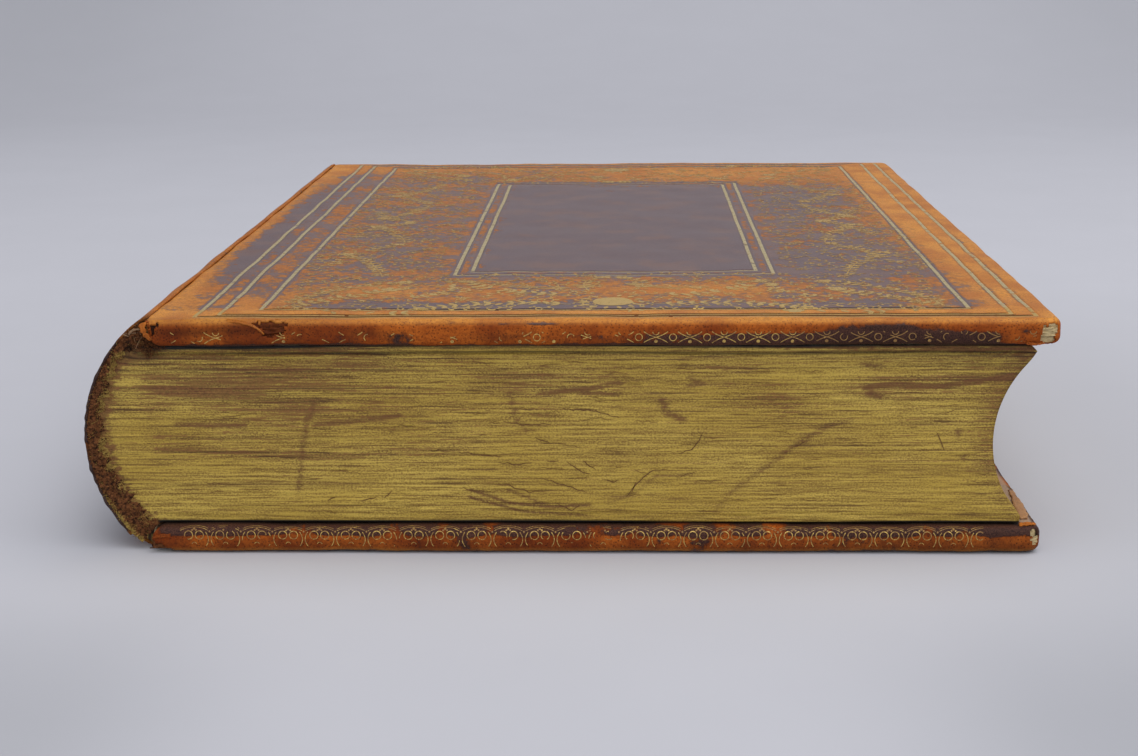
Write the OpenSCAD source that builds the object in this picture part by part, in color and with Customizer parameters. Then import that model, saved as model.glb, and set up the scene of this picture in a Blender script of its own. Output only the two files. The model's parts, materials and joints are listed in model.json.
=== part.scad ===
// Antique bible: a rounded, gilt-edged text block sewn on raised cords,
// with pasteboard covers laced on and a full leather binding.
// It lies closed on its back cover. X runs from the back to the fore-edge,
// Y from tail to head and Z up. All sizes are in millimetres.

/* [Text block] */
// Thickness of all the leaves together
pages_t = 37.5; // [28:0.5:55]
// Depth of the hollow in the fore-edge
fore_hollow = 7.5; // [4:0.5:12]
// Height of the flat lips above and below the hollow
fore_lip = 1.5; // [0.5:0.25:4]
// How far the upper lip of the fore-edge stands out beyond the lower one
fore_lean = 3; // [0:0.25:4]
// Overhang of the front cover at the fore-edge
square_fore = 3.25; // [2.75:0.25:8]
// Overhang of the covers at head and tail
square_end = 3; // [2.25:0.25:5]

/* [Covers] */
// Width of a cover from the joint to the fore-edge
cover_w = 184; // [150:1:220]
// How far the front cover has slid over the back cover towards the fore-edge
lean = 2; // [0:0.25:3]
// Height of a cover from tail to head
cover_l = 254; // [210:1:310]
// Thickness of the pasteboard
board_t = 4.2; // [3.4:0.1:6]
// Rounding of the board's inner back edge, which nests in the shoulder
board_nest = 2.8; // [1:0.1:3]
// Distance from the joint to the board's back edge
board_setback = 1.2; // [0.8:0.1:2.5]
// Rounding of the two fore-edge corners, seen from above
corner_round = 3; // [2:0.25:6]

/* [Leather] */
// Thickness of the leather on the outside
leather_t = 0.7; // [0.5:0.05:1]
// Thickness of the turned-in leather and of the paper pasted beside it
turn_in_t = 0.5; // [0.3:0.05:0.8]
// Width of the turned-in leather inside a cover
turn_in_w = 12; // [8:0.5:20]
// Rounding of the leather over the board's long edges
edge_round = 1.6; // [1:0.1:2]
// Radius of the crease along each joint
crease_r = 0.4; // [0.2:0.05:0.45]

/* [Back] */
// How far the back stands out beyond the joints
spine_round = 12.5; // [9:0.5:16]
// Number of raised bands
band_count = 5; // [4:1:6]
// Diameter of a sewing cord
cord_d = 3; // [2.2:0.1:3.6]
// Depth of a cord in the folds, in the middle of the back
cord_sink = 1.3; // [0.8:0.1:1.4]
// Angle before the joint at which a band dies away
band_stop = 4; // [3:0.5:10]
// Thickness of the paper linings between the bands
lining_t = 0.4; // [0.2:0.05:0.6]
// Width of the leather cap over the headband
headcap_w = 3; // [2:0.25:5]
// Mean width of the torn leather left on the tail of the folds
torn_w = 4.5; // [3.5:0.25:6]
// Thickness of the torn leather
torn_t = 0.6; // [0.4:0.1:0.8]
// How far the torn leather is wider at the lower joint than in the middle
torn_lean = 2.4; // [0:0.2:3]
// How far the torn leather is narrower in the middle than its mean width
torn_thin = 1.2; // [0:0.1:2]

/* [Cord slips] */
// Length of a cord's frayed end on the board
slip_l = 14; // [8:0.5:22]
// Width of a frayed end where it fans out
slip_w = 7; // [4:0.5:10]
// Thickness of a frayed end
slip_t = 0.4; // [0.2:0.05:0.6]

/* [Tooling and wear] */
// Insets of the outer frame's lines from the fore-edge
frame_insets = [6.5, 11.5, 17.5]; // [3:0.5:30]
// Insets of the outer frame's lines from head and tail
frame_end_insets = [3, 5, 10.5]; // [2:0.5:20]
// Insets of the middle panel's lines, all round
panel_insets = [53, 57.5]; // [40:0.5:62]
// Extra inset of every line on the joint's side
joint_margin = 5; // [2:0.5:10]
// Width of a tooled line
fillet_w = 1; // [0.6:0.1:1.6]
// Depth of a tooled line
fillet_depth = 0.15; // [0.05:0.05:0.3]
// Length of bare board at the worn tail corners of the fore-edge
worn_w = 4; // [2:0.25:8]
// Width of the corner that the back cover has lost at the tail of its joint
lost_w = 5.5; // [3:0.5:9]
// Height of the lost corner
lost_t = 2.8; // [2:0.1:3.2]
// Length of the lost corner along the joint
lost_l = 4; // [2:0.5:8]

/* [Fits] */
// Clearance round glued and sewn pieces
seat_gap = 0.05; // [0.03:0.01:0.1]
// Clearance between the covers and the text block
cover_gap = 0.3; // [0.2:0.05:0.5]
// Clearance between the leather of a cover and of the back along a joint
joint_gap = 0.1; // [0.06:0.02:0.2]

/* [Hidden] */
$fn = 64;
leather_color = [0.68, 0.39, 0.16];
gilt_color = [0.68, 0.57, 0.26];
board_color = [0.83, 0.76, 0.60];
paper_color = [0.88, 0.82, 0.68];
cord_color = [0.76, 0.66, 0.47];
silk_color = [0.55, 0.16, 0.12];

// Heights, from the table up
cover_t = leather_t + board_t + turn_in_t;
pages_z = cover_t + cover_gap;
book_t = pages_t + 2 * pages_z;
mid_z = book_t / 2;
inner_z = book_t - cover_t;
board_top_z = book_t - leather_t - seat_gap;
board_low_z = inner_z + turn_in_t + seat_gap;

// Back: the leather's outside is an arc through both joints, tilted with the lean of the book
chord = sqrt(pow(book_t, 2) + pow(lean, 2));
tilt = atan(lean / book_t);
back_r = (pow(chord / 2, 2) + pow(spine_round, 2)) / (2 * spine_round);
joint_angle = asin(chord / 2 / back_r);
leather_in_r = back_r - leather_t;
lining_r = leather_in_r - seat_gap;
fold_r = lining_r - lining_t - seat_gap;

// Cords and bands run on a circle set off towards the back, so they sink towards the joints
cord_r = cord_d / 2;
cord_room_r = cord_r + seat_gap;
band_r = cord_room_r + leather_t;
band_rise = fold_r - cord_sink + cord_r + band_r - back_r;
band_fade = joint_angle - band_stop;
band_shift = band_rise / (1 - cos(band_fade));
cord_path_r = back_r + band_rise - band_r - band_shift;
cord_sweep = 75;

// Positions across the book, with the origin under the middle of its box.
// chord_x is where both joints lie, seen from the axis of the back.
chord_x = spine_round - back_r;
back_reach = back_r + band_rise - band_shift * (1 - cos(tilt)) + chord_x * cos(tilt);
joint_x = (back_reach - lean / 2 - cover_w) / 2;
front_x = joint_x + lean / 2;
fore_x = front_x + cover_w;
back_x = joint_x - chord_x * cos(tilt);
back_z = mid_z + chord_x * sin(tilt);
board_x = front_x + board_setback;
shoulder_x = board_x - cover_gap;
nest_r = board_nest + cover_gap;
fore_tilt = atan(fore_lean / pages_t);
fore_half = (pages_t / 2 - fore_lip) / cos(fore_tilt);
fore_r = (pow(fore_half, 2) + pow(fore_hollow, 2)) / (2 * fore_hollow);

// Positions along the book
pages_l = cover_l - 2 * square_end;
band_pitch = pages_l / (band_count + 1);
headband_r = (square_end - leather_t) / 2 - seat_gap;
tail_y = -pages_l / 2 - seat_gap;

// How far a cutter runs past the face that it cuts
past = 1;

function band_y(i) = -pages_l / 2 + i * band_pitch;

// Raises a drawing of the book's tail end into a solid between two places along the book
module along_y(y0, y1) {
  translate([0, y1, 0]) rotate([90, 0, 0]) linear_extrude(y1 - y0) children();
}

// Raises a drawing of the book's long side into a solid between two places across the book
module along_x(x0, x1) {
  translate([x0, 0, 0]) rotate([90, 0, 90]) linear_extrude(x1 - x0) children();
}

// What a rounding of radius r takes off a corner at the origin
module corner_waste(r) {
  difference() {
    translate([-past, -past]) square(r + past);
    translate([r, r]) circle(r);
  }
}

// Turns a front cover's piece into the back cover's
module to_back() {
  translate([-lean, 0, book_t]) mirror([0, 0, 1]) children();
}

// Brings a drawing or a solid from the axis of the rounded back into place
module at_back() {
  translate([back_x, 0, back_z]) rotate([0, tilt, 0]) children();
}

// What lies outside the joints' chord, as seen from the axis of the back
module beyond_chord(gap, half_z) {
  translate([chord_x - gap - 2 * spine_round, -half_z]) square([2 * spine_round, 2 * half_z]);
}

// Round bar along the path of cord i, seen from the axis of the back
module cord_bar(i, r) {
  translate([-band_shift, band_y(i), 0]) rotate([90, 0, 0])
    rotate_extrude(angle = 2 * cord_sweep, start = 180 - cord_sweep)
      translate([cord_path_r, 0]) circle(r);
}

module cord_bars(r) {
  for (i = [1 : band_count]) cord_bar(i, r);
}

// Everything between the two shoulders' faces and the back, clear of the leather over the joints
module shoulder_strip(gap) {
  inset = leather_t + cover_gap;
  left = joint_x - 2 * spine_round;
  translate([left, mid_z]) square([shoulder_x - gap - left, mid_z - inset]);
  translate([left, inset]) square([shoulder_x - lean - gap - left, mid_z - inset + past]);
}

// Leaves with the rounded back, its two shoulders and the hollow fore-edge
module text_block_profile() {
  top_z = pages_z + pages_t;
  top_fore_x = fore_x - square_fore;
  low_x = shoulder_x - lean;
  difference() {
    union() {
      polygon([
        [low_x + nest_r, pages_z],
        [top_fore_x - fore_lean, pages_z],
        [top_fore_x, top_z],
        [low_x + nest_r, top_z]
      ]);
      translate([shoulder_x - past, mid_z]) square([nest_r + past, top_z + nest_r - mid_z]);
      translate([low_x - past, pages_z - nest_r]) square([nest_r + past, mid_z - pages_z + nest_r]);
      intersection() {
        translate([back_x, back_z]) circle(fold_r);
        shoulder_strip(0);
      }
    }
    translate([shoulder_x + nest_r, top_z + nest_r]) circle(nest_r);
    translate([low_x + nest_r, pages_z - nest_r]) circle(nest_r);
    translate([top_fore_x - fore_lean / 2, mid_z]) rotate(-fore_tilt)
      translate([fore_r - fore_hollow, 0]) circle(fore_r);
  }
}

module text_block() {
  color(gilt_color)
    difference() {
      along_y(-pages_l / 2, pages_l / 2) text_block_profile();
      at_back() cord_bars(cord_room_r);
    }
}

module sewing_cord(i) {
  color(cord_color)
    intersection() {
      at_back() cord_bar(i, cord_r);
      along_y(band_y(i) - cord_d, band_y(i) + cord_d) shoulder_strip(seat_gap);
    }
}

// Paper pasted on the folds between two bands, or between a band and the end of the book
module spine_lining(i) {
  half_z = fold_r * sin(band_fade) - seat_gap;
  y0 = i == 1 ? -pages_l / 2 : band_y(i - 1) + cord_room_r + seat_gap;
  y1 = i == band_count + 1 ? pages_l / 2 : band_y(i) - cord_room_r - seat_gap;
  color(paper_color)
    at_back() along_y(y0, y1)
      intersection() {
        difference() {
          circle(lining_r);
          circle(fold_r + seat_gap);
        }
        beyond_chord(0, half_z);
      }
}

// Worked silk roll at the head; the one at the tail is lost
module headband() {
  sweep = band_fade - band_stop;
  color(silk_color)
    at_back() translate([0, pages_l / 2 + seat_gap + headband_r, 0]) rotate([90, 0, 0])
      rotate_extrude(angle = 2 * sweep, start = 180 - sweep)
        translate([fold_r - headband_r, 0]) circle(headband_r);
}

module spine_leather() {
  color(leather_color)
    at_back()
      difference() {
        intersection() {
          union() {
            along_y(tail_y - torn_t, cover_l / 2) circle(back_r);
            cord_bars(band_r);
          }
          along_y(-cover_l, cover_l) beyond_chord(joint_gap / 2, chord / 2);
        }
        along_y(tail_y, cover_l / 2 - leather_t) circle(leather_in_r);
        along_y(cover_l / 2 - leather_t - past, cover_l / 2 + past) circle(back_r - headcap_w);
        along_y(tail_y - torn_t - past, tail_y + past)
          translate([-torn_thin, torn_lean]) circle(back_r - torn_w);
        cord_bars(cord_room_r);
        rotate([90, 0, 0])
          rotate_extrude() translate([back_r, -cover_l / 2]) mirror([1, 0]) corner_waste(edge_round);
        for (z = [-chord / 2, chord / 2])
          along_y(-cover_l, cover_l) translate([chord_x, z]) circle(crease_r);
      }
}

// Front cover as seen from the tail, without the strip of leather that reaches the joint.
module cover_profile() {
  difference() {
    translate([board_x, inner_z]) square([fore_x - board_x, cover_t]);
    translate([board_x, inner_z]) corner_waste(board_nest);
    translate([fore_x, inner_z]) mirror([1, 0]) corner_waste(edge_round);
    translate([fore_x, book_t]) mirror([1, 0]) mirror([0, 1]) corner_waste(edge_round);
  }
}

// What the rounded fore-edge corners take off a plate that lies inset from the cover's outline
module plan_corner_waste(inset) {
  linear_extrude(book_t + past)
    for (s = [0, 1])
      mirror([0, s]) translate([fore_x - inset, cover_l / 2 - inset])
        mirror([1, 0]) mirror([0, 1]) corner_waste(corner_round - inset);
}

// Space inside the leather of the front cover
module board_room() {
  difference() {
    translate([board_x - past, leather_t - cover_l / 2, inner_z + turn_in_t])
      cube([fore_x - leather_t - board_x + past, cover_l - 2 * leather_t, board_t]);
    plan_corner_waste(leather_t);
  }
}

// Gap in the turned-in leather for the paper inside the front cover
module pastedown_room() {
  translate([board_x - past, turn_in_w - cover_l / 2, inner_z - past])
    cube([fore_x - turn_in_w - board_x + past, cover_l - 2 * turn_in_w, turn_in_t + 2 * past]);
}

// One tooled line round the front cover
module fillet_line(inset, end_inset) {
  w = cover_w - joint_margin - 2 * inset;
  l = cover_l - 2 * end_inset;
  translate([front_x + joint_margin + inset, -l / 2, book_t - fillet_depth])
    linear_extrude(fillet_depth + past)
      difference() {
        square([w, l]);
        translate([fillet_w, fillet_w]) square([w - 2 * fillet_w, l - 2 * fillet_w]);
      }
}

// Leather worn off the tail corner at the fore-edge, down to the board
module worn_corner() {
  depth = leather_t + edge_round / 2;
  translate([fore_x - leather_t - worn_w, -cover_l / 2 - past, inner_z + turn_in_t])
    cube([worn_w, depth + past, board_t]);
}

// Tail corner at the joint, rubbed away on the outside
module lost_corner() {
  along_y(-cover_l / 2 - past, lost_l - cover_l / 2)
    polygon([
      [front_x - past, book_t - lost_t],
      [front_x, book_t - lost_t],
      [front_x + lost_w, book_t],
      [front_x + lost_w, book_t + past],
      [front_x - past, book_t + past]
    ]);
}

module cover_leather() {
  difference() {
    along_y(-cover_l / 2, cover_l / 2) {
      cover_profile();
      translate([front_x + joint_gap / 2, book_t - leather_t])
        square([board_setback + board_nest, leather_t]);
    }
    along_x(front_x - past, fore_x + past)
      for (s = [0, 1])
        mirror([s, 0]) translate([-cover_l / 2, 0]) {
          translate([0, inner_z]) corner_waste(edge_round);
          translate([0, book_t]) mirror([0, 1]) corner_waste(edge_round);
        }
    plan_corner_waste(0);
    board_room();
    pastedown_room();
    worn_corner();
    along_y(-cover_l, cover_l) translate([front_x, book_t]) circle(crease_r);
  }
}

module front_leather() {
  color(leather_color)
    difference() {
      cover_leather();
      for (i = [0 : len(frame_insets) - 1]) fillet_line(frame_insets[i], frame_end_insets[i]);
      for (inset = panel_insets) fillet_line(inset, inset);
    }
}

module back_leather() {
  color(leather_color)
    to_back()
      difference() {
        cover_leather();
        lost_corner();
      }
}

// Frayed end of cord i, fanned out and pasted on the board
module slip_outline(i, grow) {
  translate([board_x + board_nest, band_y(i)])
    polygon([
      [-grow, -cord_r - grow],
      [slip_l + grow, -slip_w / 2 - grow],
      [slip_l + grow, slip_w / 2 + grow],
      [-grow, cord_r + grow]
    ]);
}

module front_slip(i) {
  color(cord_color)
    translate([0, 0, board_top_z - slip_t]) linear_extrude(slip_t) slip_outline(i, 0);
}

module back_slip(i) {
  to_back() front_slip(i);
}

module board() {
  edge = leather_t + seat_gap;
  difference() {
    along_y(edge - cover_l / 2, cover_l / 2 - edge)
      intersection() {
        cover_profile();
        translate([board_x, board_low_z])
          square([fore_x - edge - board_x, board_top_z - board_low_z]);
      }
    plan_corner_waste(edge);
    for (i = [1 : band_count])
      translate([0, 0, board_top_z - slip_t - seat_gap])
        linear_extrude(slip_t + seat_gap + past) slip_outline(i, seat_gap);
  }
}

module front_board() {
  color(board_color) board();
}

module back_board() {
  color(board_color)
    to_back()
      difference() {
        board();
        translate([0, 0, -seat_gap]) lost_corner();
      }
}

// Paper pasted inside the front cover, up to the turned-in leather
module pastedown() {
  left = board_x + board_nest;
  edge = turn_in_w + seat_gap;
  translate([left, edge - cover_l / 2, inner_z])
    cube([fore_x - edge - left, cover_l - 2 * edge, turn_in_t]);
}

module front_pastedown() {
  color(paper_color) pastedown();
}

module back_pastedown() {
  color(paper_color) to_back() pastedown();
}

text_block();
headband();
spine_leather();
for (i = [1 : band_count])
  sewing_cord(i);
for (i = [1 : band_count + 1])
  spine_lining(i);
front_board();
front_leather();
front_pastedown();
for (i = [1 : band_count])
  front_slip(i);
back_board();
back_leather();
back_pastedown();
for (i = [1 : band_count])
  back_slip(i);
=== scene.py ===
# %% [markdown]
# # An antique bible
# The construction comes packed from the CAD model: text block, boards, cords, linings and three pieces
# of leather. This file dresses it. Each cell makes one piece or one finish, in the order in which a
# binder would think about it: leaves, leather, damage, gilding. The imported frame is loaded first and
# never moved.

# %% Load the imported frame
import json
import math

import bmesh
import bpy
import numpy as np
from mathutils import Matrix, Vector


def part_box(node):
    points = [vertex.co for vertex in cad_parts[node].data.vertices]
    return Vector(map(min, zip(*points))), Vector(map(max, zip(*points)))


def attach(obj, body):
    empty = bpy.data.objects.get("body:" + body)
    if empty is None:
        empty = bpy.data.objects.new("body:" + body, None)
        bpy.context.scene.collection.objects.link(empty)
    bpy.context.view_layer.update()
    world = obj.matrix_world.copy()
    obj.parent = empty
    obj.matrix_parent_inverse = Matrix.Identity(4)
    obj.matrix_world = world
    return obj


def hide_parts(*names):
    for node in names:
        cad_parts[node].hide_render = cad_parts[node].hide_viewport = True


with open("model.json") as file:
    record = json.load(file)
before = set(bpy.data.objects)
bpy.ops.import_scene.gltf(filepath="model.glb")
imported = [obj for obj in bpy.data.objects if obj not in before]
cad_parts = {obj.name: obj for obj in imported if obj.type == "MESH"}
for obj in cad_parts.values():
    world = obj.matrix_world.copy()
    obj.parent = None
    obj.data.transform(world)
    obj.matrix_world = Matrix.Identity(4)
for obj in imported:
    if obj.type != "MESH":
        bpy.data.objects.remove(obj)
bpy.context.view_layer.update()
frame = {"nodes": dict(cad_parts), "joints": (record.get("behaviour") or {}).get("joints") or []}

# %% [markdown]
# ## Sizes
# Everything below is drawn in millimetres, because a binder thinks in them, and scaled once when a mesh
# is made. The main sizes are read off the frame: the joints' axes give the book's thickness and its
# lean, and the leather's box gives the covers' outline. The rest repeats the CAD model's named values.

# %% Sizes in millimetres
MM = 0.001
hinge = {j["name"]: np.array(j["pos_m"]) / MM for j in frame["joints"]}
front_x, _, book_t = hinge["front_cover_hinge"]
back_joint_x = hinge["back_cover_hinge"][0]
lean = front_x - back_joint_x


def box_mm(node):
    low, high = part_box(node)
    return np.array(low) / MM, np.array(high) / MM


leather_low, leather_high = box_mm("front_leather")
block_low, block_high = box_mm("text_block")
fore_x, half_l = leather_high[0], leather_high[1]
cover_t = book_t - leather_low[2]
leather_t, cover_gap, edge_round, corner_round, turn_in_w = 0.7, 0.3, 1.6, 3.0, 12.0
board_setback, board_nest = 1.2, 2.8
spine_round, square_fore, fore_hollow, fore_lip, fore_lean = 12.5, 3.25, 7.5, 1.5, 3.0
pages_z = cover_t + cover_gap
pages_t = book_t - 2 * pages_z
pages_half = block_high[1]

chord, tilt = math.hypot(book_t, lean), math.atan(lean / book_t)
back_r = ((chord / 2) ** 2 + spine_round**2) / (2 * spine_round)
joint_angle = math.asin(chord / 2 / back_r)
chord_x = spine_round - back_r
back_x = (front_x + back_joint_x) / 2 - chord_x * math.cos(tilt)
back_z = book_t / 2 + chord_x * math.sin(tilt)
fold_r = back_r - 1.2
band_count, band_rise, band_stop = 5, 1.25, math.radians(4)
band_ys = -pages_half + 2 * pages_half / (band_count + 1) * np.arange(1, band_count + 1)
print(f"book {book_t:.1f} thick, covers to x {fore_x:.1f}, back radius {back_r:.2f}, lean {lean:.1f}")

# %% [markdown]
# ## Camera
# The photograph looks along the book from its tail, a little from above, with a normal lens. Matching
# known points of the book with their places in the picture gave the focal length in pixels, three
# angles and the eye's place. They are turned into a camera matrix here, with no aiming constraint.

# %% Camera
IMAGE_WIDTH, FOCAL_PIXELS = 1138, 1837
pitch, yaw, roll = np.radians((13.70, 1.78, -0.49))
eye = Vector((12.3, -485.6, 124.5)) * MM
forward = Vector((-math.sin(yaw) * math.cos(pitch), math.cos(yaw) * math.cos(pitch), -math.sin(pitch)))
right = Vector((math.cos(yaw), math.sin(yaw), 0))
up = right.cross(forward)
camera_axes = (
    math.cos(roll) * right + math.sin(roll) * up,
    math.cos(roll) * up - math.sin(roll) * right,
    -forward,
)
camera = bpy.data.objects.new("camera", bpy.data.cameras.new("camera"))
camera.data.sensor_width = 36
camera.data.lens = FOCAL_PIXELS * camera.data.sensor_width / IMAGE_WIDTH
camera.data.clip_start = 0.01
camera.matrix_world = Matrix.Translation(eye) @ Matrix(camera_axes).transposed().to_4x4()
bpy.context.scene.collection.objects.link(camera)
bpy.context.scene.camera = camera
print(f"lens {camera.data.lens:.1f} mm")

# %% [markdown]
# ## Mesh helpers
# A worn book has no straight edges, so each piece is a fine grid of points that are pushed about by
# smooth noise. Numpy moves all points of a grid in one expression. The noise is a sum of cosine waves
# in seeded random directions: it is smooth, the same on each run, and two pieces that share one
# noise fit each other exactly.


# %% Mesh helpers
def ripple(seed, wavelength, dims=3, waves=26):
    """Smooth noise, about -1 to 1, as a function of dims coordinates in millimetres."""
    rng = np.random.default_rng(seed)
    way = rng.normal(size=(waves, dims))
    way /= np.linalg.norm(way, axis=1, keepdims=True)
    way *= (2 * np.pi / (wavelength * rng.uniform(0.6, 1.6, waves)))[:, None]
    phase = rng.uniform(0, 2 * np.pi, waves)

    def at(*coords):
        points = np.stack(np.broadcast_arrays(*coords), -1)
        return np.cos(points @ way.T + phase).sum(-1) / math.sqrt(waves)

    return at


def smooth_step(low, high, x):
    t = np.clip((x - low) / (high - low), 0, 1)
    return t * t * (3 - 2 * t)


def bell(x, middle, width):
    """A soft bump: 1 at middle, about a third at width from it."""
    return np.exp(-(((x - middle) / width) ** 2))


def grid_quads(rows, cols, start=0, flip=False):
    i = np.arange(rows * cols).reshape(rows, cols) + start
    quads = np.stack([i[:-1, :-1], i[:-1, 1:], i[1:, 1:], i[1:, :-1]], -1).reshape(-1, 4)
    return quads[:, ::-1] if flip else quads


def make_piece(name, points, faces, body, recipes, replaces=(), uv=None, masks=None, paint=None):
    """A mesh from points in mm that rides on a body. masks are named values on its points."""
    points = np.reshape(points, (-1, 3))
    used = np.unique(np.fromiter((v for f in faces for v in f), int))
    renumber = np.full(len(points), -1)
    renumber[used] = np.arange(len(used))
    faces = [[int(renumber[v]) for v in f] for f in faces]
    mesh = bpy.data.meshes.new(name)
    mesh.from_pydata((points[used] * MM).tolist(), [], faces)
    for mask, values in (masks or {}).items():
        attribute = mesh.attributes.new(mask, "FLOAT", "POINT")
        on_points = np.broadcast_to(np.ravel(values), len(points))[used]
        attribute.data.foreach_set("value", on_points.astype(np.float32))
    if uv is not None:
        corner = np.zeros(len(mesh.loops), np.int64)
        mesh.loops.foreach_get("vertex_index", corner)
        layer = mesh.uv_layers.new(name="UVMap")
        layer.data.foreach_set("uv", np.asarray(uv)[used][corner].astype(np.float32).ravel())
    for recipe in recipes:
        mesh.materials.append(recipe.material)
    if paint is not None:
        mesh.polygons.foreach_set("material_index", np.asarray(paint, np.int32))
    mesh.polygons.foreach_set("use_smooth", np.ones(len(mesh.polygons), bool))
    weld = bmesh.new()
    weld.from_mesh(mesh)
    bmesh.ops.remove_doubles(weld, verts=weld.verts, dist=2e-6)
    bmesh.ops.dissolve_degenerate(weld, edges=weld.edges, dist=2e-6)
    weld.to_mesh(mesh)
    weld.free()
    piece = bpy.data.objects.new(name, mesh)
    bpy.context.scene.collection.objects.link(piece)
    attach(piece, body)
    if replaces:
        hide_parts(*replaces)
    print(f"{name}: {len(mesh.polygons)} faces")
    return piece


def thicken(piece, thickness, offset=-1):
    """Gives a sheet its thickness in mm: below its surface, or with offset 0 on both sides."""
    solid = piece.modifiers.new("thickness", "SOLIDIFY")
    solid.thickness, solid.offset = thickness * MM, offset


# %% [markdown]
# ## Shader helpers
# A finish is a recipe of nodes. Values that vary over a surface are written as ordinary Python
# arithmetic: a Wire wraps one socket, and each operator adds the Math node that does it. Everything
# else goes through Recipe.add, which takes a node's type, its settings and its sockets.


# %% Shader helpers
class Wire:
    """One value of a shader. Arithmetic on it adds Math nodes."""

    def __init__(self, recipe, socket):
        self.recipe, self.socket = recipe, socket

    def math(self, operation, first, second=0.0, clamp=False):
        settings = {"operation": operation, "use_clamp": clamp}
        return self.recipe.add("ShaderNodeMath", settings, {0: first, 1: second})

    def __add__(self, other):
        return self.math("ADD", self, other)

    def __sub__(self, other):
        return self.math("SUBTRACT", self, other)

    def __rsub__(self, other):
        return self.math("SUBTRACT", other, self)

    def __mul__(self, other):
        return self.math("MULTIPLY", self, other)

    __radd__, __rmul__ = __add__, __mul__

    def clamp(self):
        return self.math("ADD", self, 0.0, clamp=True)

    def step(self, low, high):
        """0 below low, 1 above high and smooth between."""
        settings = {"interpolation_type": "SMOOTHSTEP"}
        sockets = {"Value": self, "From Min": low, "From Max": high}
        return self.recipe.add("ShaderNodeMapRange", settings, sockets)


class Recipe:
    """A material that is built up node by node."""

    def __init__(self, name):
        self.material = bpy.data.materials.new(name)
        self.material.use_nodes = True
        self.tree = self.material.node_tree
        self.tree.nodes.clear()

    def add(self, kind, settings=None, sockets=None, out=0):
        node = self.tree.nodes.new(kind)
        for key, value in (settings or {}).items():
            setattr(node, key, value)
        for key, value in (sockets or {}).items():
            if isinstance(value, Wire):
                self.tree.links.new(value.socket, node.inputs[key])
            else:
                node.inputs[key].default_value = value
        return Wire(self, node.outputs[out]) if len(node.outputs) else None

    def place_mm(self):
        """Where a point is on the book, in millimetres."""
        place = self.add("ShaderNodeTexCoord", out="Object")
        return self.add("ShaderNodeVectorMath", {"operation": "SCALE"}, {0: place, "Scale": 1 / MM})

    def stretch(self, place, by):
        return self.add("ShaderNodeVectorMath", {"operation": "MULTIPLY"}, {0: place, 1: by})

    def noise(self, place, scale, detail=4.0, roughness=0.55):
        sockets = {"Vector": place, "Scale": scale, "Detail": detail, "Roughness": roughness}
        return self.add("ShaderNodeTexNoise", None, sockets, out=0)

    def mask(self, name):
        return self.add("ShaderNodeAttribute", {"attribute_name": name}, out="Fac")

    def mix(self, factor, first, second):
        return self.add("ShaderNodeMix", {"data_type": "RGBA"}, {0: factor, 6: first, 7: second}, out=2)

    def bump(self, height, depth_mm):
        sockets = {"Height": height, "Distance": depth_mm * MM, "Strength": 1.0}
        return self.add("ShaderNodeBump", None, sockets)

    def surface(self, **sockets):
        names = {"base": "Base Color", "rough": "Roughness", "metal": "Metallic", "normal": "Normal"}
        values = {names.get(k, k): v for k, v in sockets.items()}
        shader = self.add("ShaderNodeBsdfPrincipled", None, values)
        self.add("ShaderNodeOutputMaterial", None, {"Surface": shader})
        return self


def tone(r, g, b):
    """A colour from 0-255 screen values, as the linear colour that a shader takes."""
    c = np.array((r, g, b)) / 255
    return (*np.where(c <= 0.04045, c / 12.92, ((c + 0.055) / 1.055) ** 2.4), 1.0)


print("shader helpers ready")

# %% [markdown]
# ## Stage and light
# The book lies on a pale, slightly blue sheet that sweeps up behind it, under soft daylight. A wide
# area lamp overhead gives the soft light, a weaker one at the front opens up the tail edge, and the
# sky fills the shadows. The sheet has a faint mottle so that it isn't one flat colour, and painted
# shade darkens its colour beside and in front of the book and far behind it, as light falling off.
# It lies a little below the book, so that the back cover, when it is laid open, doesn't share its plane.

# %% Stage and light
sweep_r, sweep_y = 0.9, 0.75
floor_part = [(-3.0, 0.0), (-1.0, 0.0), (0.0, 0.0)]
curve_part = [
    (sweep_y + sweep_r * math.sin(a), sweep_r * (1 - math.cos(a))) for a in np.linspace(0, np.pi / 2, 24)
]
profile = np.array(floor_part + curve_part + [(sweep_y + sweep_r, 3.0)])
sheet_drop = 0.3 * MM
sheet_points = [(x, y, z - sheet_drop) for y, z in profile for x in (-3.0, 3.0)]
sheet_mesh = bpy.data.meshes.new("sweep")
sheet_mesh.from_pydata(sheet_points, [], grid_quads(len(profile), 2, flip=False).tolist())
sheet_mesh.polygons.foreach_set("use_smooth", np.ones(len(sheet_mesh.polygons), bool))
sheet = Recipe("backdrop_sheet")
sheet_mm = sheet.place_mm()
mottle = sheet.noise(sheet_mm, 0.02, 3.0)
sheet_x, sheet_y = (sheet.add("ShaderNodeSeparateXYZ", None, {0: sheet_mm}, out=i) for i in range(2))
aside = sheet_x * sheet_x
# Painted shade: the sheet's colour darkens far off, beside the book and in a strip in front of it.
far_off = sheet_y.step(100.0, 1400.0) * (0.2 + 0.4 * aside.step(60.0**2, 450.0**2))
to_a_side = 0.4 * sheet_x.step(60.0, 150.0) + 0.15 * sheet_x.step(-60.0, -150.0)
beside = sheet_y.step(200.0, -100.0) * to_a_side
near_strip = sheet_y.step(-130.0, -215.0) * sheet_y.step(-700.0, -240.0)
in_front = near_strip * (0.12 + 0.5 * aside.step(30.0**2, 85.0**2))
painted_falloff_shade = (far_off + beside + in_front).clamp()
pale = sheet.mix(mottle, tone(198, 198, 205), tone(203, 203, 210))
sheet.surface(base=sheet.mix(painted_falloff_shade, pale, tone(166, 167, 173)), rough=0.9)
sheet_mesh.materials.append(sheet.material)
backdrop = bpy.data.objects.new("backdrop", sheet_mesh)
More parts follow.
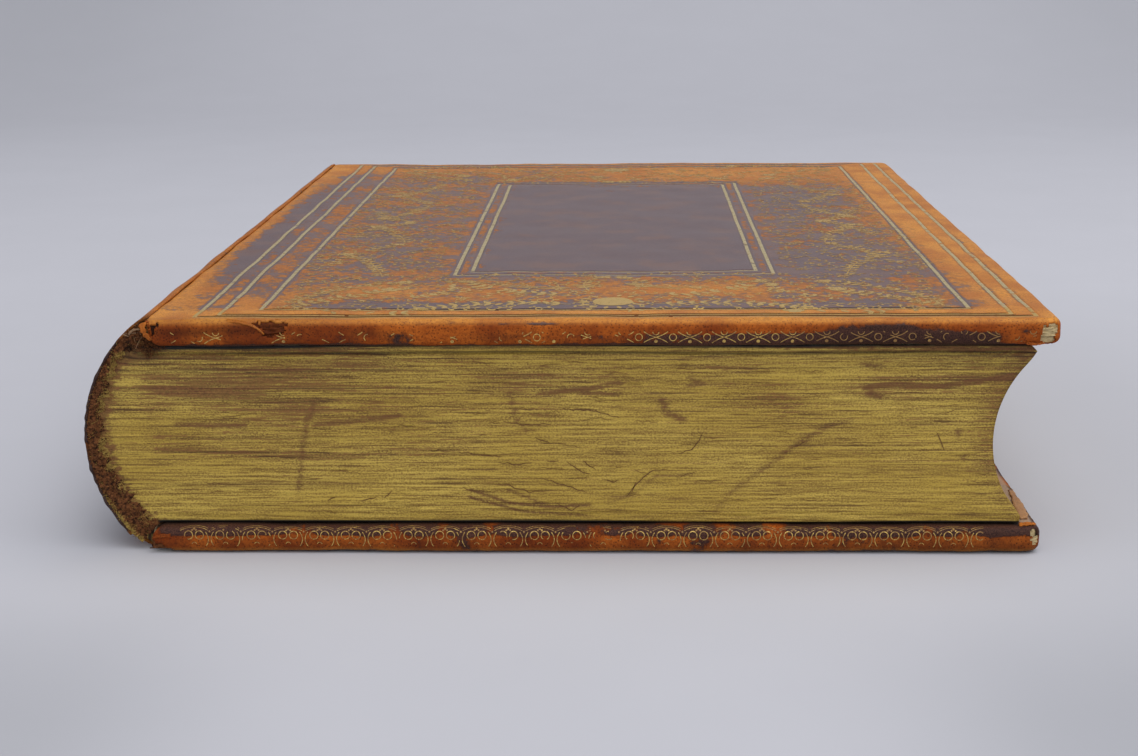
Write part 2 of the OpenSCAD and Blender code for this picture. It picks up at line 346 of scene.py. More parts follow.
bpy.context.scene.collection.objects.link(backdrop)


def add_lamp(name, place, aim, size, watts):
    lamp = bpy.data.objects.new(name, bpy.data.lights.new(name, "AREA"))
    lamp.data.shape, lamp.data.size, lamp.data.energy = "SQUARE", size, watts
    lamp.location = place
    lamp.rotation_euler = (Vector(aim) - Vector(place)).to_track_quat("-Z", "Y").to_euler()
    bpy.context.scene.collection.objects.link(lamp)


add_lamp("overhead", (0.5, -0.35, 1.7), (0, 0, 0), 2.2, 24)
add_lamp("front", (0.4, -2.2, 1.3), (0, 0, 0.1), 1.4, 10)
world = bpy.data.worlds.new("daylight")
world.use_nodes = True
world.node_tree.nodes["Background"].inputs["Color"].default_value = (0.90, 0.92, 0.97, 1)
world.node_tree.nodes["Background"].inputs["Strength"].default_value = 0.5
bpy.context.scene.world = world
bpy.context.scene.view_settings.view_transform = "Standard"
print("backdrop, two lamps and a sky")

# %% [markdown]
# ## Finish of the gilt edges
# The edges of the leaves were scraped smooth and covered with gold leaf. Up close they show fine lines
# along the leaves, where dirt has settled between them, and a duller, browner gold where hands have
# rubbed. The lines follow the leaves, so this finish uses the mesh's own UV, laid in millimetres
# along and across the leaves, and stretches noise along them. Three masks on the mesh say where it has
# suffered or lies in shade: stain where the gold is rubbed, scratch for brown strokes and gap for painted
# shade, near black, between the leaves, under the covers and at the joint.

# %% Gilt edges and plain paper
gilt = Recipe("gilt_edges")
leaf_uv = gilt.add("ShaderNodeTexCoord", out="UV")
long_lines = gilt.noise(gilt.stretch(leaf_uv, (0.03, 2.1, 1.0)), 1.0, 3.0, 0.6)
short_lines = gilt.noise(gilt.stretch(leaf_uv, (0.15, 2.9, 1.0)), 1.0, 3.0, 0.6)
dust = gilt.noise(gilt.stretch(leaf_uv, (2.4, 3.0, 1.0)), 1.0, 2.0, 0.6)
wisps = gilt.noise(gilt.stretch(leaf_uv, (0.08, 2.4, 1.0)), 1.0, 6.0, 0.72)
fuzz = gilt.noise(gilt.stretch(leaf_uv, (1.3, 2.4, 1.0)), 1.0, 5.0, 0.7)
soft_cloud = gilt.noise(gilt.stretch(leaf_uv, (0.03, 0.06, 1.0)), 1.0, 3.0)
stain = gilt.mask("stain")
lit = (long_lines * 0.34 + short_lines * 0.32 + dust * 0.34).step(0.41, 0.58)
gold_tone = gilt.mix(soft_cloud.step(0.3, 0.7), tone(192, 160, 64), tone(212, 182, 84))
line_tone = gilt.mix(stain.step(-0.15, 0.35), tone(144, 112, 46), tone(112, 80, 34))
leaf_tone = gilt.mix(lit, line_tone, gold_tone)
seams = gilt.noise(gilt.stretch(leaf_uv, (0.006, 2.4, 1.0)), 1.0, 1.0, 0.5).step(0.38, 0.30)
leaf_tone = gilt.mix(seams * (0.3 + 0.5 * stain.step(-0.1, 0.3)), leaf_tone, tone(76, 50, 24))
cracks = (long_lines * 0.6 + short_lines * 0.4).step(0.42, 0.36)
leaf_tone = gilt.mix(cracks * 0.6, leaf_tone, tone(72, 46, 22))
worn_by = stain + (wisps - 0.5) * 2.4 + (fuzz - 0.5) * 1.2
worn_by = worn_by + (short_lines - 0.5) * 2.4 + (dust - 0.5) * 1.0
rubbed = worn_by.step(0.28, 0.66)
rub_tone = gilt.mix(fuzz.step(0.35, 0.65), tone(86, 44, 22), tone(128, 78, 42))
# gap mixes the leaves to near black: painted shade.
gap, marked = gilt.mask("gap"), gilt.mask("scratch") * fuzz.step(0.30, 0.60)
leaf_tone = gilt.mix(rubbed * 0.8, leaf_tone, rub_tone)
leaf_tone = gilt.mix(marked, leaf_tone, tone(104, 66, 32))
gilt.surface(
    base=gilt.mix(gap, leaf_tone, tone(14, 9, 5)),
    metal=0.30 * (1 - rubbed) * (1 - gap),
    rough=0.52 + 0.25 * rubbed + 0.2 * gap,
    normal=gilt.bump(long_lines * 0.5 + short_lines * 0.5 + 0.3 * dust, 0.14),
)

paper = Recipe("old_paper")
paper_mm = paper.place_mm()
foxing = paper.noise(paper_mm, 0.11, 5.0, 0.6).step(0.58, 0.78)
fibre = paper.noise(paper_mm, 1.6, 4.0)
rag_tone = paper.mix(fibre, tone(214, 198, 160), tone(228, 215, 182))
paper.surface(
    base=paper.mix(foxing * 0.6, rag_tone, tone(176, 138, 88)),
    rough=0.85,
    normal=paper.bump(fibre, 0.05),
)
print("gilt edges and paper")

# %% [markdown]
# ## Finish of the leather
# The calf was stained a dark plum and polished. A century of handling has flaked that surface off and
# shows the tan leather below. How much is left differs from place to place, so each leather mesh
# carries a mask named dark, from 0 (all worn) to 1 (all left). Noise at two scales breaks the mask's
# border into ragged flakes, and the same border feeds the bump, since the stained skin stands proud.
# Three more masks follow: edge for the redder walls of the covers, grime for dirt and for painted shade
# where a cover lies by the ends of the leaves and in the hole at the joint, and pale for faded skin. On
# the face the plum is lighter and greyer than on the walls, partly as a painted sheen. Torn leather has
# masks of its own: fleck where lining paper shows, pale for light shreds and hollow for deep shade.


# %% Leather
def leather_recipe(name):
    hide = Recipe(name)
    mm = hide.place_mm()
    blotch = hide.noise(mm, 0.10, 5.0, 0.6)
    flake = hide.noise(mm, 0.55, 6.0, 0.68)
    speck = hide.noise(mm, 1.8, 5.0, 0.7)
    grain = hide.noise(mm, 4.0, 3.0, 0.6)
    cells = {"Vector": mm, "Scale": 1.7}
    pore = hide.add("ShaderNodeTexVoronoi", {"feature": "F1"}, cells, out="Distance")
    edge, grime = hide.mask("edge"), hide.mask("grime")
    left = hide.mask("dark") * 2.0 - 1.0 + (blotch - 0.5) * 1.9 + (flake - 0.5) * 2.1
    finish = left.step(-0.14, 0.14)
    halo = left.step(-0.6, 0.05)
    mottled = blotch.step(0.32, 0.68)
    face_tan = hide.mix(mottled, tone(186, 112, 36), tone(220, 148, 56))
    edge_tan = hide.mix(mottled, tone(134, 58, 14), tone(190, 99, 30))
    tan = hide.mix(edge, face_tan, edge_tan)
    pits = (pore + (speck - 0.5) * 0.6).step(0.34, 0.16)
    tan = hide.mix(speck.step(0.44, 0.64) * 0.5, tan, hide.mix(edge, tone(156, 88, 32), tone(98, 40, 12)))
    tan = hide.mix(pits * 0.7, tan, hide.mix(edge, tone(140, 78, 34), tone(62, 24, 12)))
    tan = hide.mix(halo * 0.6, tan, hide.mix(edge, tone(124, 74, 36), tone(84, 36, 16)))
    # The face's plum is lighter and greyer than the walls' plum: partly a painted sheen, the reflection of
    # the bright surroundings on the face.
    plum = hide.mix(grain.step(0.35, 0.65), tone(80, 58, 58), tone(108, 82, 80))
    plum = hide.mix(blotch.step(0.46, 0.66) * 0.5, plum, tone(124, 84, 60))
    plum = hide.mix(edge, plum, hide.mix(grain.step(0.35, 0.65), tone(54, 32, 28), tone(92, 58, 46)))
    # grime mixes to near black: dirt, and painted shade where a cover lies by the ends of the leaves and in
    # the joint hole.
    colour = hide.mix(grime, hide.mix(finish, tan, plum), tone(18, 11, 8))
    hide.surface(
        base=hide.mix(hide.mask("pale"), colour, tone(188, 158, 132)),
        rough=0.72 - 0.16 * finish + 0.10 * (grain - 0.5),
        normal=hide.bump(finish * 0.35 + grain * 0.25 + pore * 0.35 + speck * 0.6, 0.2),
        **{
            "Specular IOR Level": 0.15,
            "Coat Weight": (1 - edge) * (0.3 + 0.4 * finish) * (1 - grime),
            "Coat Roughness": 0.35,
        },
    )
    return hide


calf = leather_recipe("stained_calf")

torn = Recipe("torn_leather")
torn_mm = torn.place_mm()
shreds = torn.noise(torn_mm, 1.5, 6.0, 0.7)
specks = torn.noise(torn_mm, 3.0, 5.0, 0.7)
paper_flecks = (specks + torn.mask("fleck") * 0.5 - 0.25).step(0.50, 0.60)
red_rot = torn.mix(shreds.step(0.36, 0.60), tone(46, 27, 19), tone(134, 84, 50))
flecked = torn.mix(paper_flecks, red_rot, tone(172, 142, 74))
flecked = torn.mix(torn.mask("pale"), flecked, tone(202, 164, 126))
torn.surface(
    base=torn.mix(torn.mask("hollow"), flecked, tone(12, 8, 6)),
    rough=0.9,
    normal=torn.bump(shreds + 0.6 * specks, 0.4),
    **{"Specular IOR Level": 0.15},
)
print("stained calf and torn leather")

# %% [markdown]
# ## Finishes of the hidden work
# Pasteboard is layered waste paper, cords are hemp, the headband is striped silk. They are seen at the
# worn corners and when the covers are open. The CAD nodes have the right shapes, so they stay and only
# get these finishes.

# %% Board, hemp and silk
pasteboard = Recipe("pasteboard")
board_mm = pasteboard.place_mm()
layers = pasteboard.noise(pasteboard.stretch(board_mm, (0.25, 0.25, 3.5)), 1.0, 5.0, 0.65)
pulp = pasteboard.noise(board_mm, 1.3, 5.0, 0.65)
grime = pasteboard.noise(board_mm, 0.5, 3.0)
pasteboard.surface(
    base=pasteboard.mix(
        (layers * 0.6 + pulp * 0.4).step(0.36, 0.52),
        tone(150, 114, 66),
        pasteboard.mix(grime, tone(194, 170, 122), tone(214, 192, 146)),
    ),
    rough=0.9,
    normal=pasteboard.bump(layers + pulp, 0.35),
)

hemp = Recipe("hemp_cord")
hemp_mm = hemp.place_mm()
strands = hemp.add(
    "ShaderNodeTexWave",
    {"wave_type": "BANDS", "bands_direction": "DIAGONAL"},
    {"Vector": hemp_mm, "Scale": 0.6, "Distortion": 3.0, "Detail": 3.0, "Detail Scale": 2.0},
    out="Fac",
)
hemp.surface(
    base=hemp.mix(strands, tone(150, 126, 84), tone(200, 178, 132)),
    rough=0.85,
    normal=hemp.bump(strands, 0.3),
)

silk = Recipe("headband_silk")
turns = silk.add(
    "ShaderNodeTexWave",
    {"wave_type": "BANDS", "bands_direction": "Z"},
    {"Vector": silk.place_mm(), "Scale": 0.42, "Distortion": 0.6, "Detail": 2.0},
    out="Fac",
)
silk.surface(
    base=silk.mix(turns.step(0.35, 0.65), tone(150, 48, 36), tone(214, 196, 150)),
    rough=0.5,
    normal=silk.bump(turns, 0.3),
)

for node, obj in frame["nodes"].items():
    for key, recipe in (
        ("board", pasteboard),
        ("pastedown", paper),
        ("lining", paper),
        ("cord", hemp),
        ("slip", hemp),
        ("headband", silk),
    ):
        if key in node:
            obj.data.materials.clear()
            obj.data.materials.append(recipe.material)
print("finishes on", len(frame["nodes"]), "CAD nodes")

# %% [markdown]
# ## Text block
# Every leaf is a line on the tail: it starts at the rounded back, bends over the shoulder if it is near
# a cover, runs flat and ends in the hollow of the fore-edge. So the tail is a grid whose rows are leaves
# and whose columns go along them, which makes all lines of the edge follow the leaves. The fore-edge is
# the CAD model's hollow, with its upper lip worn round by thumbs.

# %% Shape of the leaves
LEAVES, STEPS = 150, 200
lip_high, lip_worn = 4.5, 3.8
top_fore_x = fore_x - square_fore
fore_tilt = math.atan(fore_lean / pages_t)
fore_half = (pages_t / 2 - fore_lip) / math.cos(fore_tilt)
fore_r = (fore_half**2 + fore_hollow**2) / (2 * fore_hollow)
hollow_x = top_fore_x - fore_lean / 2 + (fore_r - fore_hollow) * math.cos(fore_tilt)
hollow_z = book_t / 2 - (fore_r - fore_hollow) * math.sin(fore_tilt)


def fore_edge_x(z):
    line = top_fore_x - (pages_z + pages_t - z) * math.tan(fore_tilt)
    arc = hollow_x - np.sqrt(np.clip(fore_r**2 - (z - hollow_z) ** 2, 0, None))
    up_lip = np.clip((z - pages_z - pages_t + lip_high) / lip_high, 0, 1)
    return np.minimum(line, arc) - lip_worn * (1 - np.sqrt(1 - up_lip**2))


def leaf_points(k, along):
    """Places (x, z) on leaf k, from 0 at the bottom to 1 at the top, along it from back to fore-edge."""
    out = np.abs(2 * k - 1)
    flat_z = pages_z + pages_t * k
    tip = np.where(k > 0.5, block_high[2] - pages_z - pages_t, block_low[2] - pages_z)
    fold_z = flat_z + tip * out**6
    fold_x = back_x - np.sqrt(fold_r**2 - (fold_z - back_z) ** 2)
    run = along**1.3 * (fore_edge_x(flat_z) - fold_x)
    curl = 1 - np.sqrt(1 - np.clip(1 - run / (3.1 + 9 * (1 - out)), 0, 1) ** 2)
    drop = np.clip(1 - run / (0.3 + 4 * (1 - out)), 0, 1)
    return fold_x + run, flat_z + (fold_z - flat_z) * (0.66 * curl + 0.34 * drop)


leaf_k, leaf_q = np.linspace(0, 1, LEAVES)[:, None], np.linspace(0, 1, STEPS)[None, :]
leaf_x, leaf_z = leaf_points(leaf_k, leaf_q)
print(f"{LEAVES} leaves of {STEPS} steps, fore-edge radius {fore_r:.1f}")

# %% [markdown]
# The stains are drawn as strokes with a width and a strength. Smooth noise adds the rest: more
# dirt towards the back and the top, a clean lower half, and a dark rim along the torn leather, whose
# inner border is already laid out here.


# %% Stains on the leaves
def stroke(x, z, path, width):
    """How near points are to a drawn path: 1 on it, 0 beyond its width."""
    near = np.zeros(np.shape(x))
    for (x0, z0), (x1, z1) in zip(path[:-1], path[1:]):
        dx, dz = x1 - x0, z1 - z0
        t = np.clip(((x - x0) * dx + (z - z0) * dz) / (dx * dx + dz * dz), 0, 1)
        away = np.hypot(x - x0 - t * dx, z - z0 - t * dz)
        near = np.maximum(near, 1 - smooth_step(0.3 * width, width, away))
    return near


# Each stroke: its path in x and z, its width and its strength
SCRATCHES = [
    ([(58, 27.4), (53.7, 26.6), (46, 21.8), (39.7, 16.8), (33, 11.6), (30.5, 8)], 0.8, 0.30),
    ([(-51.6, 31), (-53.6, 26), (-54.6, 19), (-55.6, 12.0)], 0.8, 0.32),
    ([(-5.1, 33.0), (2, 33.8), (11.1, 35.2)], 0.7, 0.50),
    ([(3, 33.2), (10.6, 32.9)], 0.6, 0.45),
    ([(19.4, 31.4), (20.4, 29), (23.6, 27.6)], 1.1, 0.45),
    ([(-19.8, 12.6), (-12, 9.8), (-4, 9.0), (4.9, 9.4)], 0.5, 0.75),
    ([(-20, 11), (-9, 7.9), (4, 7.2)], 0.5, 0.7),
    ([(-12, 12.6), (-4, 9.2)], 0.5, 0.6),
    ([(60.4, 34.2), (66, 35.0), (75, 34.4), (90, 36.6)], 0.8, 0.42),
    ([(61, 34.6), (61.6, 32.6), (64, 32.2)], 0.7, 0.50),
    ([(-11.6, 33.5), (-10.4, 28.0), (-8.0, 25.0)], 0.6, 0.35),
    ([(25, 36.4), (27.5, 35.0), (24.6, 34.6)], 0.6, 0.45),
    ([(60, 39.0), (63.5, 38.6)], 0.8, 0.55),
    ([(-88, 35.6), (-70, 34.2), (-50, 34.4), (-28, 35)], 1.6, 0.20),
    ([(-84, 33.8), (-72, 32.8)], 1.3, 0.22),
    ([(-76, 30.0), (-60, 29.6), (-38, 30.6)], 1.8, 0.18),
    ([(-80, 26.6), (-66, 26.2)], 0.9, 0.42),
    ([(-52, 26.4), (-34, 28.4)], 0.8, 0.38),
    ([(-84, 20.6), (-50, 20.0), (-20, 21.4)], 1.7, 0.22),
    ([(-74, 13.6), (-40, 14.4)], 1.0, 0.2),
    ([(79.5, 25.4), (80, 21), (82, 18)], 0.4, 0.4),
    ([(8, 9.5), (14, 12), (18, 15.5), (26, 16)], 0.45, 0.4),
]
smear, streak = ripple(3, 9, 2), ripple(4, 5, 2)
strokes = [s * stroke(leaf_x - 0.5, leaf_z, path, w) for path, w, s in SCRATCHES]
fine_strokes = [drawn for drawn, (_, w, _) in zip(strokes, SCRATCHES) if w < 1.2]
scratch_map = np.clip(1.1 * sum(fine_strokes), 0, 0.8)
stain_map = sum(strokes)
from_fold = leaf_x - leaf_x[:, :1]
upper = smooth_step(10, 32, leaf_z)
broken = streak(leaf_x * 0.12, leaf_z * 2.2)
stain_map += smooth_step(110, 5, from_fold) * upper * (0.28 + 0.2 * broken)
dusty = 0.22 + 0.16 * smooth_step(20, 70, leaf_x) + 0.16 * streak(leaf_x * 0.1, leaf_z * 2.6)
stain_map += smooth_step(26, 40, leaf_z) * dusty
stain_map += 0.14 * smear(leaf_x * 0.3, leaf_z) * upper - 0.22 * smooth_step(22, 8, leaf_z)
stain_map += 0.4 * smooth_step(7, 0, fore_edge_x(leaf_z) - leaf_x)
# Dirt and painted shade at the upper corner of the leaves under the joint.
corner_dirt_and_shade = smooth_step(-76, -87, leaf_x) * smooth_step(38, 43, leaf_z)
torn_w, torn_thin, torn_lean = 4.5, 1.2, 2.4
arc_x = (leaf_x - back_x) * math.cos(tilt) - (leaf_z - back_z) * math.sin(tilt)
arc_z = (leaf_x - back_x) * math.sin(tilt) + (leaf_z - back_z) * math.cos(tilt)
from_torn = back_r - torn_w - np.hypot(np.minimum(arc_x, -12) + torn_thin, arc_z - torn_lean)
from_torn += 0.8 * ripple(5, 1.5, 2)(leaf_x, leaf_z)
stain_map += 0.5 * corner_dirt_and_shade + 0.75 * smooth_step(2.2, -0.4, from_torn) - 0.3 * bell(from_torn, 4.5, 3)
print(len(SCRATCHES), "drawn strokes on the leaves")

# %% [markdown]
# The first leaf stands off the block, so painted shade darkens the leaves above that leaf and in the gap
# below it. Finer gaps open towards the ends as painted dark lines, and the bottom leaf gets painted shade
# from the cover. The first gap also sinks into the mesh, between cut edges that stand out unevenly.

# %% Gaps between the leaves
# Each gap: how far below the top leaf, its strength, and from where to where in x it opens
FINE_GAPS = [
    (2.5, 0.6, 40, 75),
    (3.5, 0.5, 55, 80),
    (4.6, 0.4, 30, 60),
    (2.8, 0.45, -30, -70),
    (5.6, 0.35, -20, -60),
]
leaf_mm = leaf_k * pages_t
gap_wave = 0.12 * streak(leaf_x * 0.06, 0 * leaf_x)
first_gap = leaf_mm - pages_t + 1.75 + gap_wave
# Painted shade, mixed to near black: above the first leaf under the front cover, in the gaps between the
# leaves, on the bottom leaf by the back cover and at the corner under the joint.
gap_top = pages_t - 0.6 - 0.5 * smooth_step(-42, -66, leaf_x)
gap_map = smooth_step(gap_top, gap_top + 0.35, leaf_mm + gap_wave)
gap_map += 0.85 * bell(first_gap, 0, 0.2) * smooth_step(2, 30, from_fold)
for below, strength, start, stop in FINE_GAPS:
    line = bell(leaf_mm - pages_t + 2 * gap_wave, -below, 0.16)
    gap_map += strength * line * smooth_step(start, stop, leaf_x)
gap_map += smooth_step(0.45, 0.2, leaf_mm + gap_wave)
gap_map += corner_dirt_and_shade * (0.55 + 0.25 * ripple(6, 1.0, 2)(leaf_x, leaf_z))
gap_map = np.clip(gap_map, 0, 1)

border = np.minimum(leaf_mm, pages_t - leaf_mm) / 0.8
border = np.clip(np.minimum(border, np.minimum(leaf_q, 1 - leaf_q) * 60), 0, 1)


def leaf_relief(seed):
    """How far the cut edges stand out, in millimetres."""
    wave, gather = ripple(seed, 1.0, 2), ripple(seed + 1, 2.6, 2)
    relief = 0.05 * wave(leaf_x * 0.06, leaf_z) + 0.03 * gather(leaf_x * 0.012, leaf_z)
    return (relief - 0.6 * bell(first_gap, 0, 0.25)) * border


print(2 + len(FINE_GAPS), "dark gaps")

# %% [markdown]
# The other sides are grids that share the tail's border points, and welding them closes the block. The
# head is the tail again with less dirt and a little less painted shade, and the folds have grooves for the
# cords.

# %% Text block
near_bands = [b + np.linspace(-1.7, 1.7, 7) for b in band_ys]
along_y = np.unique(np.concatenate([np.linspace(-pages_half, pages_half, 13)] + near_bands))
blocks, quads, paint, uvs = [], [], [], []
leaf_masks = {"stain": [], "gap": [], "scratch": []}
GILT, PAPER = 0, 1


def add_side(x, y, z, u, v, flip, finish, **on_side):
    """One side of the block: a grid with its uv in mm, its finish and its masks."""
    rows, cols = np.broadcast(x, y, z).shape
    start = sum(len(b) for b in blocks)
    blocks.append(np.stack(np.broadcast_arrays(x, y, z), -1).reshape(-1, 3))
    uvs.append(np.stack(np.broadcast_arrays(u, v), -1).reshape(-1, 2))
    for mask, values in leaf_masks.items():
        values.append(np.broadcast_to(on_side.get(mask, 0.0), (rows, cols)).ravel())
    quads.append(grid_quads(rows, cols, start, flip))
    paint.extend([finish] * len(quads[-1]))


tail_y, head_y = -pages_half - leaf_relief(11), pages_half + leaf_relief(21)
tail_masks = {"stain": stain_map, "gap": gap_map, "scratch": scratch_map}
add_side(leaf_x, tail_y, leaf_z, leaf_x, leaf_mm, False, GILT, **tail_masks)
add_side(leaf_x, head_y, leaf_z, leaf_x, leaf_mm + 90, True, GILT, stain=0.3 * stain_map, gap=0.8 * gap_map)
ys = along_y[None, :]
add_side(leaf_x[:, -1:], ys, leaf_z[:, -1:], ys, leaf_mm + 180, False, GILT, stain=0.15)
fold_groove = 1.45 * np.clip(1 - (np.abs(ys[..., None] - band_ys) / 1.7) ** 2, 0, 1).max(-1)
fold_groove = fold_groove * (1 - np.abs(2 * leaf_k - 1) ** 4)
add_side(leaf_x[:, :1] + fold_groove, ys, leaf_z[:, :1], ys, leaf_mm + 270, True, PAPER, stain=0.5)
ys = along_y[:, None]
for row, flip in ((-1, False), (0, True)):
    flat_x, flat_z = leaf_x[row][None, :], leaf_z[row][None, :]
    add_side(flat_x, ys, flat_z, flat_x, ys, flip, PAPER, gap=1.0)
make_piece(
    "leaves",
    np.concatenate(blocks),
    np.concatenate(quads),
    "book_block",
    [gilt, paper],
    replaces=["text_block"],
    uv=np.concatenate(uvs),
    masks={mask: np.concatenate(values) for mask, values in leaf_masks.items()},
    paint=paint,
)

# %% [markdown]
# Here and there a nail, a pin or a crumb of grit has drawn a fine line across the leaves. Such a line is
# narrower than a step of the grid, so each is a thin ribbon that lies on the tail, tapered at both ends.
# The ones that the photograph shows are drawn one by one, and shorter ones are scattered between them.

# %% Fine scratches on the tail
MARKS = [
    [(-17.2, 20.0), (-12.8, 19.8)],
    [(-13.6, 18.5), (-9.1, 18.2), (-6.7, 18.4)],
    [(-12.4, 27.1), (-8.3, 26.5), (-2.7, 26.8)],
    [(-5.9, 23.8), (-3.1, 22.8)],
    [(-3.5, 18.7), (-1.1, 18.9)],
    [(0.5, 18.7), (3.3, 16.8), (5.3, 16.0)],
    [(3.7, 18.9), (6.3, 17.0)],
    [(-4.3, 15.1), (-1.1, 13.9), (4.5, 12.2)],
    [(-17.2, 14.1), (-11.6, 13.7), (-7.5, 12.2), (-3.9, 12.4)],
    [(-21.2, 13.2), (-18.8, 12.4), (-14.4, 12.0)],
    [(8.2, 14.7), (10.2, 14.3), (11.0, 14.8)],
    [(13.8, 12.2), (14.6, 14.3)],
    [(-1.1, 30.1), (6.5, 29.4), (11.4, 28.0)],
    [(-22.0, 20.8), (-15.2, 20.0)],
    [(-1.9, 9.9), (1.3, 8.2), (3.1, 9.3)],
    [(12.6, 11.1), (15.0, 14.3), (17.8, 16.8), (21.0, 17.2)],
    [(23.4, 20.4), (25.9, 21.2), (27.5, 23.1), (28.3, 24.8)],
    [(46.4, 21.7), (49.6, 23.1)],
    [(75.6, 25.0), (76.4, 23.1), (77.2, 21.2)],
    [(-49.0, 10.3), (-47.4, 11.1)],
    [(-42.1, 10.3), (-38.9, 11.1)],
    [(-37.3, 10.9), (-35.7, 12.4)],
]
drawn_marks, scattered_marks = len(MARKS), 110
rng = np.random.default_rng(25)
for _ in range(scattered_marks):
    x, z, long = rng.uniform(-75, 84), rng.uniform(8, 40), rng.uniform(1.5, 6.0)
    MARKS.append([(x, z), (x + long, z + long * rng.normal(0, 0.09))])
jitter = ripple(26, 2.2, 2)
ribbons, ribbon_faces, depths = [], [], []
for i, path in enumerate(MARKS):
    path = np.array(path, float)
    wide, deep = (0.10, 0.9) if i < drawn_marks else (0.06, 0.6)
    gone = np.concatenate([[0], np.cumsum(np.linalg.norm(np.diff(path, axis=0), axis=1))])
    t = np.linspace(0, 1, 5 + int(gone[-1] / 0.6))
    x, z = (np.interp(t * gone[-1], gone, path[:, k]) for k in range(2))
    z = z + 0.12 * jitter(x, z)
    half = wide * np.sin(np.pi * (0.06 + 0.88 * t)) ** 0.6
    slope = np.arctan2(np.gradient(z), np.gradient(x))
    start = sum(len(p) for p in ribbons)
    for s in (-1, 1):
        y = np.full(len(t), -pages_half - 0.2)
        ribbons.append(np.stack([x - s * half * np.sin(slope), y, z + s * half * np.cos(slope)], -1))
    ribbon_faces.append(grid_quads(2, len(t), start, flip=True))
    depths.append(np.full(2 * len(t), deep))
ribbons, depths = np.concatenate(ribbons), np.concatenate(depths)
make_piece(
    "tail_scratches",
    ribbons,
    np.concatenate(ribbon_faces),
    "book_block",
    [gilt],
    uv=ribbons[:, [0, 2]],
    masks={"stain": depths, "gap": 0.12 * depths, "scratch": depths},
)

# %% [markdown]
# ## Leather of the covers
# The leather lies flat on the board, rolls over its three outer edges and is turned in. One band of
# points follows the cover's outline with the section of that roll, and a grid fills the outside. Both
# use the same noise, so they weld without a seam. The back cover is the front one, mirrored. Faces are
# left out where the leather is worn through, and Solidify gives the rest its thickness, so that the
# torn rims are real.

# %% Section and outline of a cover
quarter = np.linspace(0, np.pi / 2, 7)
r = edge_round
section = np.array(
    [(corner_round, 0.0), (2.5, 0.0), (2.0, 0.0)]
    + [(r - r * math.sin(a), r - r * math.cos(a)) for a in quarter]
    + [(0.0, d) for d in np.linspace(r, cover_t - r, 8)[1:-1]]
    + [(r - r * math.cos(a), cover_t - r + r * math.sin(a)) for a in quarter]
    + [(w, cover_t) for w in (corner_round, 6.0, 9.0, turn_in_w)]
)
section_way = np.array(
    [(0.0, 1.0)] * 3
    + [(math.sin(a), math.cos(a)) for a in quarter]
    + [(1.0, 0.0)] * 6
    + [(math.cos(a), -math.sin(a)) for a in quarter]
    + [(0.0, -1.0)] * 4
)
section_run = np.concatenate([[0], np.cumsum(np.linalg.norm(np.diff(section, axis=0), axis=1))])
# Each framing line: how far it stands in from the long edges and from the ends
FILLETS = [(4.2, 3.0), (8.8, 5.0), (16.3, 10.5), (53.0, 49.5), (56.7, 53.2)]
joint_margin, fillet_w, fillet_depth = 5.0, 1.0, 0.13


def stops(places):
    """Sample places at both walls of each tooled line."""
    return [c + d for c in places for d in (-0.75, -0.14, 0, fillet_w, fillet_w + 0.14, fillet_w + 0.75)]


fillet_x = [front_x + joint_margin + i for i, _ in FILLETS] + [fore_x - i - fillet_w for i, _ in FILLETS]
fillet_y = [s for _, e in FILLETS for s in (e - half_l, half_l - e - fillet_w)]
inner_fore, inner_end = fore_x - corner_round, half_l - corner_round
skin_x = np.concatenate(
    [
        np.arange(front_x, front_x + 7, 0.3),
        np.arange(front_x + 7, inner_fore - 6, 1.5),
        np.arange(inner_fore - 6, inner_fore, 0.3),
        [inner_fore],
        np.arange(-64, -55, 0.4),
        stops(fillet_x),
    ]
)
skin_x = np.unique(np.round(skin_x, 3))
skin_y = np.concatenate(
    [np.linspace(-inner_end, 26 - inner_end, 20), np.linspace(26 - inner_end, inner_end, 78), stops(fillet_y)]
)
skin_y = np.unique(np.round(np.clip(skin_y, -inner_end, inner_end), 3))


def corner_turn(cy, angles):
    return [(inner_fore + corner_round * math.cos(a), cy + corner_round * math.sin(a), a) for a in angles]


turn = np.linspace(-np.pi / 2, 0, 9)[1:-1]
outline = np.array(
    [(x, -half_l, -np.pi / 2) for x in skin_x]
    + corner_turn(-inner_end, turn)
    + [(fore_x, y, 0.0) for y in skin_y]
    + corner_turn(inner_end, turn + np.pi / 2)
    + [(x, half_l, np.pi / 2) for x in skin_x[::-1]]
)
outline_run = np.concatenate([[0], np.cumsum(np.linalg.norm(np.diff(outline[:, :2], axis=0), axis=1))])
print(f"cover skin: {len(skin_x)} x {len(skin_y)} on the face, {len(outline)} x {len(section)} at the edge")

# %% [markdown]
# The skin's place is a function of where it is on the face or round the edge, so that the gilding can
# be laid on the same surface later. A cover's noise is small: leather over board is nearly flat.


# %% Surface of a cover
swell, pucker = ripple(31, 26), ripple(32, 7)


def unevenness(x, y, z):
    return 0.09 * swell(x, y, z) + 0.045 * pucker(x, y, z)


def board_depth(x):
    """How deep the board reaches below the face near its rounded back edge."""
    t = np.clip(x - front_x - board_setback, 0, board_nest)
    nest = cover_t - board_nest + np.sqrt(np.clip(board_nest**2 - (board_nest - t) ** 2, 0, None))
    return np.where(x < front_x + board_setback, leather_t, nest)


def crease(x):
    return 0.35 * bell(x, front_x, 0.5)


def face_point(x, y, lift=0.0):
    z = book_t + unevenness(x, y, book_t) - crease(x) + lift
    return np.stack(np.broadcast_arrays(x, y, z), -1)


